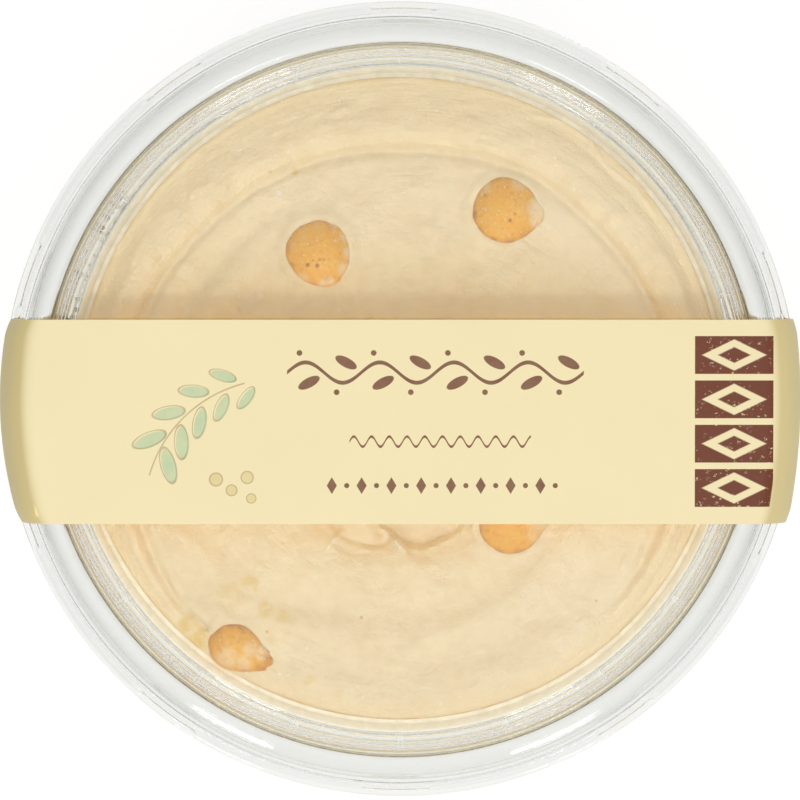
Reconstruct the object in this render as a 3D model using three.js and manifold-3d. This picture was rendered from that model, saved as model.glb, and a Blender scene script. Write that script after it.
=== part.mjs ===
// A shut pot of hummus: a clear round tub with a clear snap lid, filled with a swirled dip in
// which four whole chickpeas sit, and a printed card sleeve round its middle. Millimetres, +Z up,
// origin at the centre of the underside, +X to the right and +Y to the back as the sleeve is read.
import * as THREE from "three";
import { mergeVertices } from "three/addons/utils/BufferGeometryUtils.js";
import Module from "manifold-3d";

// Fits
const GAP = 0.3; // clearance between neighbouring pieces
const MERGE = 1e-3; // distance under which two vertices are one

// Card sleeve
const CARD = 0.35; // thickness of the card
const SLEEVE_TOP = 41.5; // height of its upper face
const SLEEVE_FRONT = -18.2; // its two cut edges
const SLEEVE_BACK = 12;
const SLEEVE_REACH = 59.5; // half width where it passes the lid's flange
const SLEEVE_FOLD = 53.8; // half width of its flat upper strip
const SLEEVE_FOOT = 44.9; // half width of its lower strip
const FOOT_BEND = { size: 1.1, lean: 0.4 }; // the bend between lower strip and side
const NOSE_BEND = { below: 0.7, above: 1.1, out: 0.3 }; // the bend round the flange
const SHOULDER_BEND = { inward: 2, down: 1.3, flat: 3.2 }; // the bend into the upper strip
const SLEEVE_STEPS = 5;
const BEND_STEPS = 4;
const BOW_LEFT = 0.0085; // how far each side bows in round the rim, per mm squared
const BOW_RIGHT = 0.0055;

// Lid
const SKIN = 0.5; // wall thickness of the lid
const FLANGE_R = 59;
const FLANGE_Z = 36; // underside of the flange
const SNAP_R = 58.36; // foot of the skirt, and where it is pinched in to grip
const SNAP_PINCH_R = 57.95;
const SNAP_TALL = 0.2;
const SNAP_LEAN = 0.1;
const SNAP_COUNT = 10;
const SNAP_TURN = 17.1; // direction of one pinch, degrees
const SNAP_HALF = 5;
const SKIRT_R = 57.8; // the skirt stands out here, above the snap
const SKIRT_Z = 37.1;
const CROWN_R = 54.75; // middle of the raised ring over the tub's rim
const CROWN_Z = 39.6;
const CROWN_HALF = 2.15;
const CROWN_RISE = 1.4;
const PLUG_R = 51.1; // lowest of the small steps of the plug wall
const PLUG_Z = 36.7;
const PLUG_STEPS = 3;
const PLUG_STEP_R = 0.5;
const PLUG_STEP_Z = 0.95;
const PLUG_LEDGE = 0.32;
const GROOVE_Z = 35.75; // bottom of the groove at the plug's foot
const GROOVE_IN = 50.1;
const GROOVE_OUT = 50.7;
const GROOVE_BEVEL = 0.3;
const PANEL_R = 49.7;
const PANEL_Z = 37.4;
const PANEL_BEVEL = 0.4;
const LUG_COUNT = 20; // short upright lugs in the groove
const LUG_WIDE = 0.5;
const LUG_TIP = 0.17;
const LUG_LONG = 1.1;
const LUG_TALL = 0.7;
const LID_SIDES = 72;

// Tub, by the inner face of its wall
const WALL = 0.62;
const FOOT_Z = CARD + 0.35; // the foot ring stands on the sleeve's lower strip
const FOOT_IN = 39.5;
const FOOT_OUT = 42.4;
const BASE_RISE = 1.2; // the base inside the foot ring is raised
const BASE_SLOPE = 1.4;
const WALL_LOW_R = 43.2; // at the foot
const WALL_LOW_Z = 2.1;
const WALL_HIGH_R = 48.8; // under the ledge that carries the lid's plug
const WALL_HIGH_Z = 34.1;
const LEDGE_IN = 49.4;
const LEDGE_R = 51.3;
const LEDGE_Z = 34.7;
const MOUTH_R = 53.4;
const MOUTH_Z = 39.25;
const RIM_Z = 39.85;
const RIM_R = 56;
const RIM_BEVEL = 0.6;
const LIP_R = 56.3; // foot of the turned-down rim
const LIP_Z = 37.4;
const TUB_SIDES = 52;

// Hummus
const LEVEL = 33.7; // mean level of the dip
const EDGE_LEVEL = 33.15; // level at the tub's wall
const EDGE_EASE = [44.5, 48.2]; // radii between which the surface settles to that level
const SWIRL = { x: 0, y: -4.1 }; // middle of the swirl
const SWIRL_R = 41.3; // its outermost stroke
const SWIRL_KEEP = 43; // rings are centred on the swirl up to here, then ease to the wall
const MOUND = { rise: 0.5, wide: 20 };
const DIP_SIDES = 60;
const DIP_RING = 3.5; // width of the plain rings
const STROKE_RINGS = [-1.6, -0.8, 0, 0.8]; // closer rings by the outermost stroke
const EDGE_RINGS = [44.6, 46.2, 47.4]; // and by the wall

// One stroke of the spoon: an arc round the middle of the swirl that may drift in or out.
// A stroke is a crease of the given depth, and the dip swells by lift just outside it.
const STROKES = [
  { from: -48, to: 226, r0: 41.3, r1: 41.5, depth: 0.5, lift: 0.6, width: 0.85 },
  { from: 186, to: 246, r0: 44.6, r1: 45.4, depth: 0.5, lift: 0.2, width: 1.1 },
  { from: 296, to: 356, r0: 45.2, r1: 44.8, depth: 0.4, lift: 0.2, width: 1.2 },
  { from: 112, to: 178, r0: 37, r1: 35.6, depth: 0.2, lift: 0.2, width: 1.4 },
  { from: 118, to: 176, r0: 31, r1: 28.6, depth: 0.28, lift: 0.28, width: 1.5 },
  { from: 182, to: 262, r0: 34.2, r1: 29.6, depth: 0.24, lift: 0.26, width: 2.1 },
  { from: 222, to: 344, r0: 29.4, r1: 26.4, depth: 0.22, lift: 0.3, width: 2 },
  { from: 262, to: 350, r0: 36.4, r1: 35, depth: 0.16, lift: 0.16, width: 2.2 },
  { from: -4, to: 62, r0: 32.8, r1: 36.2, depth: 0.2, lift: 0.2, width: 1.6 },
  { from: 4, to: 80, r0: 47.2, r1: 50.2, depth: 0.25, lift: 0.15, width: 0.8 },
];
const STROKE_FADE = 22; // degrees over which a stroke dies away
const LIFT_REACH = 3.6; // how far outside its crease a stroke swells most
const LIFT_WIDE = 2.7;

// Where the strokes wander: out round the second chickpea, in beside it, and gently all along
const WANDER = [
  { turn: 62, out: 0.8, half: 10 },
  { turn: 90, out: -0.55, half: 14 },
];
const WAVE = { out: 0.15, count: 5 };

// The curl in the middle, where the spoon left the dip: two hollows with a lip on the front side
const HOLLOWS = [
  { x: 3.3, y: -15.2, r: 7.1, lip: 0.45, fall: 0.95 },
  { x: -4.6, y: -15.3, r: 7.2, lip: 0.15, fall: 0.5 },
];
const HOLLOW_FRONT = [-0.15, 0.45]; // share of the way round to the front where it sets in
const HOLLOW_LIP = { out: 0.35, wide: 0.75 };
const HOLLOW_DROP = [-0.1, 0.9]; // from the lip inwards it drops here
const HOLLOW_RISE = [1, 6.5]; // and comes up again here
const HOLLOW_LAP = 0.4; // width over which the first hollow laps the second

// Chickpeas: place, height of the top, half sizes along, across and up, the direction of the
// beak, how far it is tipped up, and how far the dip is pushed up round the chickpea
const CHICKPEAS = [
  { x: -12.4, y: 22.2, top: 36.4, half: [5.5, 5.4, 4.6], beak: -65, tip: 24, collar: 0.15 },
  { x: 15.3, y: 28.1, top: 36.4, half: [5.6, 5.4, 4.6], beak: -8, tip: 26, collar: 0.2 },
  { x: 16.2, y: -18.3, top: 36.35, half: [5.5, 5.4, 4.6], beak: -14, tip: 24, collar: 0.15 },
  { x: -23.25, y: -36.5, top: 36, half: [5.6, 4.2, 4.2], beak: -42, tip: 12, collar: 0.45 },
];
const BEAK = 0.18; // how far the beak stands out, as a share of the radius
const BEAK_WIDE = 0.4; // radians
const SEAM = { deep: 0.035, wide: 0.22, fade: [0.2, -0.6] }; // the seam behind the beak
const COLLAR = { tuck: 0.2, wide: 1.3 };
const PEA_SIDES = 16;
const PEA_RINGS = 10;

const wasm = await Module();
wasm.setup();

const { clamp, degToRad, euclideanModulo, lerp, radToDeg, smoothstep } = THREE.MathUtils;

/** A closed geometry as a solid that can be joined and cut. */
function toSolid(geometry) {
  const bare = geometry.clone();
  bare.deleteAttribute("normal");
  bare.deleteAttribute("uv");
  const merged = mergeVertices(bare, MERGE);
  return new wasm.Manifold(
    new wasm.Mesh({
      numProp: 3,
      vertProperties: merged.attributes.position.array,
      triVerts: new Uint32Array(merged.index.array),
    }),
  );
}

/** The surface of a solid as a geometry. */
function toGeometry(solid) {
  const mesh = solid.getMesh();
  const geometry = new THREE.BufferGeometry();
  geometry.setAttribute("position", new THREE.BufferAttribute(mesh.vertProperties, 3));
  geometry.setIndex(new THREE.BufferAttribute(mesh.triVerts, 1));
  geometry.computeVertexNormals();
  return geometry;
}

/** A profile of [radius, height] pairs turned about the Z axis. */
function turned(profile, sides) {
  const points = profile.map(([r, z]) => new THREE.Vector2(r, z));
  return new THREE.LatheGeometry(points, sides).rotateX(Math.PI / 2);
}

/** Points on the upper half of an ellipse, from its inner to its outer end. */
function arch(r, z, half, rise, steps) {
  return Array.from({ length: steps + 1 }, (_, i) => {
    const angle = Math.PI * (1 - i / steps);
    return [r + half * Math.cos(angle), z + rise * Math.sin(angle)];
  });
}

/** A line of [radius, height] pairs set off to its right, which is down where it runs outwards. */
function setOff(line, distance) {
  const points = line.map(([r, z]) => new THREE.Vector2(r, z));
  const rights = points.slice(1).map((point, i) => {
    const along = point.clone().sub(points[i]).normalize();
    return new THREE.Vector2(along.y, -along.x);
  });
  return points.map((point, i) => {
    const before = rights[Math.max(i - 1, 0)];
    const after = rights[Math.min(i, rights.length - 1)];
    const between = before.clone().add(after).normalize();
    point.addScaledVector(between, distance / between.dot(before));
    return [point.x, point.y];
  });
}

/** Moves every vertex of a geometry by a function of its place. */
function reshape(geometry, move) {
  const position = geometry.attributes.position;
  const point = new THREE.Vector3();
  for (let i = 0; i < position.count; i++) {
    move(point.fromBufferAttribute(position, i));
    position.setXYZ(i, point.x, point.y, point.z);
  }
  return geometry;
}

/** A bell of height 1 and the given half width. */
function bell(distance, half) {
  return Math.exp(-((distance / half) ** 2));
}

/** Turn from direction b to direction a, between -180 and 180 degrees. */
function turnFrom(b, a) {
  return euclideanModulo(a - b + 180, 360) - 180;
}

// ---- Lid ---------------------------------------------------------------------------------------

/** Upper face of the lid from its middle out to the flange. */
function lidLine(plugSteps, crownSteps) {
  const plug = Array.from({ length: plugSteps }, (_, i) => {
    const r = PLUG_R + PLUG_STEP_R * i;
    const z = PLUG_Z + PLUG_STEP_Z * i;
    return [
      [r, z],
      [r + PLUG_LEDGE, z + PLUG_LEDGE / 2],
    ];
  }).flat();
  return [
    [0, PANEL_Z],
    [PANEL_R - PANEL_BEVEL, PANEL_Z],
    [PANEL_R, PANEL_Z - PANEL_BEVEL],
    [GROOVE_IN - GROOVE_BEVEL, GROOVE_Z + GROOVE_BEVEL],
    [GROOVE_IN, GROOVE_Z],
    [GROOVE_OUT, GROOVE_Z],
    ...plug,
    ...arch(CROWN_R, CROWN_Z, CROWN_HALF, CROWN_RISE, crownSteps),
    [SKIRT_R, SKIRT_Z],
    [SNAP_R, FLANGE_Z + SKIN + SNAP_TALL],
    [SNAP_R + SNAP_LEAN, FLANGE_Z + SKIN],
    [FLANGE_R, FLANGE_Z + SKIN],
  ];
}

/** Pinches the foot of the skirt in at even steps, so that the lid grips the rim. */
function pinchSkirt(point) {
  const r = Math.hypot(point.x, point.y);
  const onSnap = Math.abs(r - SNAP_R) < 2 * SNAP_LEAN && point.z > FLANGE_Z + SKIN - MERGE;
  if (!onSnap) return;
  const turn = radToDeg(Math.atan2(point.y, point.x));
  const pitch = 360 / SNAP_COUNT;
  const nearest = SNAP_TURN + pitch * Math.round((turn - SNAP_TURN) / pitch);
  if (Math.abs(turnFrom(nearest, turn)) > SNAP_HALF) return;
  const k = (r - SNAP_R + SNAP_PINCH_R) / r;
  point.x *= k;
  point.y *= k;
}

/** One lug: an upright wedge that points outwards across the groove. */
function lug(index) {
  const outline = new THREE.Shape([
    new THREE.Vector2(0, -LUG_WIDE / 2),
    new THREE.Vector2(LUG_LONG, -LUG_TIP / 2),
    new THREE.Vector2(LUG_LONG, LUG_TIP / 2),
    new THREE.Vector2(0, LUG_WIDE / 2),
  ]);
  const wedge = new THREE.ExtrudeGeometry(outline, {
    depth: LUG_TALL + SKIN / 2,
    bevelEnabled: false,
  });
  wedge.translate(GROOVE_IN - GROOVE_BEVEL, 0, GROOVE_Z - SKIN / 2);
  wedge.rotateZ((2 * Math.PI * index) / LUG_COUNT);
  return toSolid(wedge);
}

function makeLid() {
  const upper = lidLine(PLUG_STEPS, 5);
  const under = setOff(lidLine(0, 3), SKIN);
  const skin = turned([...under, ...upper.reverse()], LID_SIDES);
  let solid = toSolid(reshape(skin, pinchSkirt));
  for (let i = 0; i < LUG_COUNT; i++) solid = solid.add(lug(i));
  return toGeometry(solid);
}

// ---- Tub ---------------------------------------------------------------------------------------

/** Inner face of the tub from its middle out to the foot of its wall. */
function baseLine() {
  const floor = FOOT_Z + WALL;
  return [
    [0, floor + BASE_RISE],
    [FOOT_IN - BASE_SLOPE, floor + BASE_RISE],
    [FOOT_IN, floor],
    [FOOT_OUT, floor],
    [WALL_LOW_R, WALL_LOW_Z],
  ];
}

/** Inner face of the tub from the foot of its wall up and over the rim. */
function wallLine() {
  return [
    [WALL_HIGH_R, WALL_HIGH_Z],
    [LEDGE_IN, LEDGE_Z],
    [LEDGE_R, LEDGE_Z],
    [MOUTH_R, MOUTH_Z],
    [MOUTH_R + RIM_BEVEL, RIM_Z],
    [RIM_R - RIM_BEVEL, RIM_Z],
    [RIM_R, RIM_Z - RIM_BEVEL],
    [LIP_R, LIP_Z],
  ];
}

/** Inner radius of the tub's sloping wall at a height. */
function wallRadius(z) {
  const slope = (WALL_HIGH_R - WALL_LOW_R) / (WALL_HIGH_Z - WALL_LOW_Z);
  return WALL_LOW_R + slope * (z - WALL_LOW_Z);
}

function makeTub() {
  const inner = [...baseLine(), ...wallLine()];
  const outer = setOff(inner, WALL);
  return turned([...outer, ...inner.reverse()], TUB_SIDES);
}

// ---- Hummus ------------------------------------------------------------------------------------

/** Rise or fall that one stroke leaves at a point given round the middle of the swirl. */
function strokeRelief(stroke, distance, turn) {
  const half = (stroke.to - stroke.from) / 2;
  const along = turnFrom(stroke.from + half, turn);
  const fade = 1 - smoothstep(Math.abs(along), half - STROKE_FADE, half);
  if (fade === 0) return 0;
  const share = clamp((along + half) / (2 * half), 0, 1);
  const off = distance - lerp(stroke.r0, stroke.r1, share);
  const crease = -stroke.depth * bell(off, stroke.width);
  const swell = stroke.lift * bell(off - LIFT_REACH, LIFT_WIDE);
  return fade * (crease + swell);
}

/** How far the strokes stand further out than a true circle in one direction. */
function wander(turn) {
  const bends = WANDER.reduce((sum, w) => sum + w.out * bell(turnFrom(w.turn, turn), w.half), 0);
  return bends + WAVE.out * Math.sin(degToRad(turn) * WAVE.count);
}

/** One hollow of the curl: it drops behind a lip on its front side and rises again inwards. */
function hollowRelief(hollow, x, y) {
  const distance = Math.hypot(x - hollow.x, y - hollow.y);
  const inside = hollow.r - distance;
  const front = smoothstep((hollow.y - y) / Math.max(distance, 1), ...HOLLOW_FRONT);
  const drop = smoothstep(inside, ...HOLLOW_DROP) * (1 - smoothstep(inside, ...HOLLOW_RISE));
  const lip = bell(inside + HOLLOW_LIP.out, HOLLOW_LIP.wide);
  return front * (hollow.lip * lip - hollow.fall * drop);
}

/** The curl: the first hollow lies over the second. */
function curlRelief(x, y) {
  const [over, under] = HOLLOWS;
  const outside = Math.hypot(x - over.x, y - over.y) - over.r;
  const clear = smoothstep(outside, -HOLLOW_LAP, HOLLOW_LAP);
  return hollowRelief(over, x, y) + hollowRelief(under, x, y) * clear;
}

/** The soft bank that each chickpea pushes up round itself. */
function collarRelief(x, y) {
  return CHICKPEAS.reduce((sum, pea) => {
    const outside = Math.hypot(x - pea.x, y - pea.y) - pea.half[1] + COLLAR.tuck;
    return sum + pea.collar * bell(outside, COLLAR.wide);
  }, 0);
}

/** Height of the dip's surface. */
function dipHeight(x, y) {
  const distance = Math.hypot(x - SWIRL.x, y - SWIRL.y);
  const turn = radToDeg(Math.atan2(y - SWIRL.y, x - SWIRL.x));
  const steady = distance - (wander(turn) * distance) / SWIRL_R;
  const strokes = STROKES.reduce((sum, s) => sum + strokeRelief(s, steady, turn), 0);
  const mound = MOUND.rise * bell(distance, MOUND.wide);
  const inside = LEVEL + mound + strokes + curlRelief(x, y) + collarRelief(x, y);
  return lerp(inside, EDGE_LEVEL, smoothstep(Math.hypot(x, y), ...EDGE_EASE));
}

/** Radii of the rings of the dip's surface, from the middle out. */
function dipRings() {
  const plain = Math.floor((SWIRL_R + STROKE_RINGS[0]) / DIP_RING);
  const inner = Array.from({ length: plain }, (_, i) => DIP_RING * (i + 1));
  const stroke = STROKE_RINGS.map((d) => SWIRL_R + d);
  return [...inner, ...stroke, SWIRL_KEEP, ...EDGE_RINGS];
}

/** Moves a vertex of the flat surface onto the swirl. */
function swirl(point) {
  if (point.z < LEVEL - MERGE) return;
  const edge = wallRadius(EDGE_LEVEL) - GAP;
  const r = Math.hypot(point.x, point.y);
  const keep = 1 - clamp((r - SWIRL_KEEP) / (edge - SWIRL_KEEP), 0, 1);
  point.x += SWIRL.x * keep;
  point.y += SWIRL.y * keep;
  point.z = dipHeight(point.x, point.y);
}

/** The filling before the chickpeas are pressed in, a gap clear of the tub. */
function makeFilling() {
  const profile = [
    ...setOff(baseLine(), -GAP),
    [wallRadius(EDGE_LEVEL) - GAP, EDGE_LEVEL],
    ...dipRings()
      .reverse()
      .map((r) => [r, LEVEL]),
    [0, LEVEL],
  ];
  return reshape(turned(profile, DIP_SIDES), swirl);
}

// ---- Chickpeas ---------------------------------------------------------------------------------

/** A chickpea, or with a margin the pocket that it sits in. */
function makeChickpea({ x, y, top, half, beak, tip }, margin) {
  const pea = new THREE.SphereGeometry(1, PEA_SIDES, PEA_RINGS).rotateX(Math.PI / 2);
  reshape(pea, (point) => {
    const fromBeak = Math.acos(clamp(point.x, -1, 1));
    const behind = 1 - smoothstep(point.x, SEAM.fade[1], SEAM.fade[0]);
    const k = 1 + BEAK * bell(fromBeak, BEAK_WIDE) - SEAM.deep * behind * bell(point.y, SEAM.wide);
    const [along, across, up] = half.map((h) => h * k + margin);
    point.set(point.x * along, point.y * across, point.z * up);
  });
  pea.rotateY(-degToRad(tip)).rotateZ(degToRad(beak));
  return pea.translate(x, y, top - half[2]);
}

function makeHummus() {
  return toGeometry(
    CHICKPEAS.reduce(
      (dip, pea) => dip.subtract(toSolid(makeChickpea(pea, GAP))),
      toSolid(makeFilling()),
    ),
  );
}

// ---- Sleeve ------------------------------------------------------------------------------------

/** The three soft folds of one side, from the foot up: start, control and end of each. */
function sleeveFolds(inset) {
  const top = SLEEVE_TOP - inset;
  const reach = SLEEVE_REACH - inset;
  const foot = SLEEVE_FOOT - inset;
  const bend = FOOT_BEND;
  const nose = NOSE_BEND;
  const shoulder = SHOULDER_BEND;
  return [
    [foot - bend.size, inset, foot, inset, foot + bend.lean, inset + bend.size],
    [
      ...[reach - nose.out, FLANGE_Z - nose.below],
      ...[reach + nose.out, FLANGE_Z + nose.out],
      ...[reach - nose.out, FLANGE_Z + nose.above],
    ],
    [
      ...[reach - shoulder.inward, top - shoulder.down],
      ...[SLEEVE_FOLD + shoulder.flat - inset, top],
      ...[SLEEVE_FOLD, top],
    ],
  ];
}

/** One face of the sleeve as a closed outline, set in from its outer face. */
function sleeveOutline(path, inset) {
  const folds = sleeveFolds(inset);
  const mirrored = folds
    .map(([ax, az, bx, bz, cx, cz]) => [-cx, cz, -bx, bz, -ax, az])
    .reverse();
  path.moveTo(folds[0][0], folds[0][1]);
  for (const [ax, az, bx, bz, cx, cz] of [...folds, ...mirrored]) {
    path.lineTo(ax, az);
    path.quadraticCurveTo(bx, bz, cx, cz);
  }
  path.closePath();
  return path;
}

/** The sleeve's two sides bow in to follow the round rim. */
function bow(point) {
  const share = point.x > 0 ? BOW_RIGHT : BOW_LEFT;
  point.x *= 1 - (share * point.y ** 2) / SLEEVE_REACH;
}

function makeSleeve() {
  const outline = sleeveOutline(new THREE.Shape(), 0);
  outline.holes.push(sleeveOutline(new THREE.Path(), CARD));
  const band = new THREE.ExtrudeGeometry(outline, {
    depth: SLEEVE_BACK - SLEEVE_FRONT,
    steps: SLEEVE_STEPS,
    curveSegments: BEND_STEPS,
    bevelEnabled: false,
  });
  band.rotateX(Math.PI / 2).translate(0, SLEEVE_BACK, 0);
  return reshape(band, bow);
}

// ---- Assembly ----------------------------------------------------------------------------------

const clear = { color: 0xe9ebe6, roughness: 0.08, metalness: 0, transparent: true, opacity: 0.3 };
const card = { color: 0xf2e4b8, roughness: 0.55, metalness: 0 };
const dip = { color: 0xeedcb8, roughness: 0.6, metalness: 0 };
const pea = { color: 0xe6b26a, roughness: 0.5, metalness: 0 };

/** A named piece with its own finish. */
function piece(name, geometry, finish) {
  const mesh = new THREE.Mesh(geometry, new THREE.MeshStandardMaterial(finish));
  mesh.name = name;
  return mesh;
}

const pot = new THREE.Group();
pot.add(
  piece("tub", makeTub(), clear),
  piece("lid", makeLid(), clear),
  piece("hummus", makeHummus(), dip),
  piece("sleeve", makeSleeve(), card),
);
CHICKPEAS.forEach((spot, i) => {
  pot.add(piece(`chickpea_${i + 1}`, makeChickpea(spot, 0), pea));
});

export default pot;
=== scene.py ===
"""A shut tub of hummus: clear tub, clear snap lid, swirled dip, four chickpeas and a card sleeve.

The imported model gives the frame. Every piece stands where its node stands, in metres with +Z up.
Sizes are written in millimetres, which MM turns into metres, and directions in degrees.
"""

import logging
import math
import random
from collections.abc import Iterable, Mapping, Sequence
from dataclasses import dataclass
from enum import Enum
from typing import NamedTuple, Union

import bmesh
import bpy
from mathutils import Euler, Matrix, Vector, noise


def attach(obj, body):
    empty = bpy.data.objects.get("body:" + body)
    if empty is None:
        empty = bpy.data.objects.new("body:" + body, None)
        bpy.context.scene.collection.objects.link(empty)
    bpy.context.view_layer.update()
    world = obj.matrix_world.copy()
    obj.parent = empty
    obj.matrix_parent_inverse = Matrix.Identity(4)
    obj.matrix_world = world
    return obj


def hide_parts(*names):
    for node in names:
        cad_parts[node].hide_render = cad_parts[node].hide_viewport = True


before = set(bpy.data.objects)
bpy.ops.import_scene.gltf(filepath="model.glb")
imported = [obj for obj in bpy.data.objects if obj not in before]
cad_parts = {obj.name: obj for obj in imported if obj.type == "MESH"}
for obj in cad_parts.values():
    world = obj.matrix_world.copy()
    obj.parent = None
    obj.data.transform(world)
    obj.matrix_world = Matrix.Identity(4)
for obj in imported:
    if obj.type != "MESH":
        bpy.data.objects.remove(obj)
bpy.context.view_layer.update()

LOG = logging.getLogger("tub_of_hummus")
MM = 0.001
MERGE = 1e-7  # metres under which two vertices are one
TURN = 2 * math.pi
CRISP = math.radians(50)  # edges that turn by more than this stay sharp

Pair = tuple[float, float]
Colour = tuple[float, float, float]
Material = bpy.types.Material
Socket = bpy.types.NodeSocket
Shape = bmesh.types.BMesh
Vert = bmesh.types.BMVert
Edge = bmesh.types.BMEdge

WHITE: Colour = (1.0, 1.0, 1.0)
BLACK: Colour = (0.0, 0.0, 0.0)


class Body(Enum):
    """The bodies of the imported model."""

    ROOT = "root"


class Slot(Enum):
    """The record's material slots."""

    CLEAR = "clear_plastic"
    CARD = "card"
    HUMMUS = "hummus"
    CHICKPEA = "chickpea"


# ---- Numbers ----


def clamp(value: float) -> float:
    """The value, held between 0 and 1."""
    return min(1.0, max(0.0, value))


def smooth(low: float, high: float, value: float) -> float:
    """Goes from 0 where the value is low to 1 where it is high, with soft ends."""
    share = clamp((value - low) / (high - low))
    return share * share * (3 - 2 * share)


def bell(distance: float, half: float) -> float:
    """A bell of height 1 over a distance, with the given half width."""
    return math.exp(-((distance / half) ** 2))


def mix(low: float, high: float, share: float) -> float:
    """The number at a share of the way from low to high."""
    return low + (high - low) * share


def turn_from(start: float, end: float) -> float:
    """The turn from one direction to another, between -180 and 180."""
    return (end - start + 180) % 360 - 180


def direction(turn: float, up: float) -> Vector:
    """The unit vector at a turn about Z and a height above the level."""
    turn, up = math.radians(turn), math.radians(up)
    return Vector((math.cos(turn) * math.cos(up), math.sin(turn) * math.cos(up), math.sin(up)))


# ---- Shader building ----


Number = Union["Value", float]
Entry = Union["Value", Socket, float, Sequence[float]]


class Value:
    """A number in a shader, on which Python's operators add Math nodes."""

    def __init__(self, tree: "Tree", socket: Socket) -> None:
        """Wraps an output socket of a tree."""
        self.tree = tree
        self.socket = socket

    def math(self, operation: str, *others: Number) -> "Value":
        """Adds a Math node that works on this value and the others."""
        return self.tree.math(operation, self, *others)

    def __add__(self, other: Number) -> "Value":
        """Adds."""
        return self.math("ADD", other)

    def __sub__(self, other: Number) -> "Value":
        """Takes the other away."""
        return self.math("SUBTRACT", other)

    def __rsub__(self, other: Number) -> "Value":
        """Is taken away from the other."""
        return self.tree.math("SUBTRACT", other, self)

    def __mul__(self, other: Number) -> "Value":
        """Multiplies."""
        return self.math("MULTIPLY", other)

    __radd__ = __add__
    __rmul__ = __mul__

    def __truediv__(self, other: Number) -> "Value":
        """Divides by the other."""
        return self.math("DIVIDE", other)

    def __abs__(self) -> "Value":
        """Drops the sign."""
        return self.math("ABSOLUTE")

    def most(self, other: Number) -> "Value":
        """The larger of the two."""
        return self.math("MAXIMUM", other)

    def hypot(self, other: "Value") -> "Value":
        """The distance from the origin of a point with these two as its places."""
        return (self * self + other * other).math("SQRT")

    def above(self, low: float, high: float) -> "Value":
        """Goes smoothly from 0 at low to 1 at high."""
        sockets = {"Value": self, "From Min": low, "From Max": high}
        return self.tree.value("ShaderNodeMapRange", sockets, interpolation_type="SMOOTHSTEP")

    def below(self, low: float, high: float) -> "Value":
        """Goes smoothly from 1 at low to 0 at high."""
        return 1.0 - self.above(low, high)


def swung(x: Number, y: Number, turn: float) -> tuple[Number, Number]:
    """A point's places along and across a direction."""
    cos, sin = math.cos(math.radians(turn)), math.sin(math.radians(turn))
    return x * cos + y * sin, y * cos - x * sin


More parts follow.
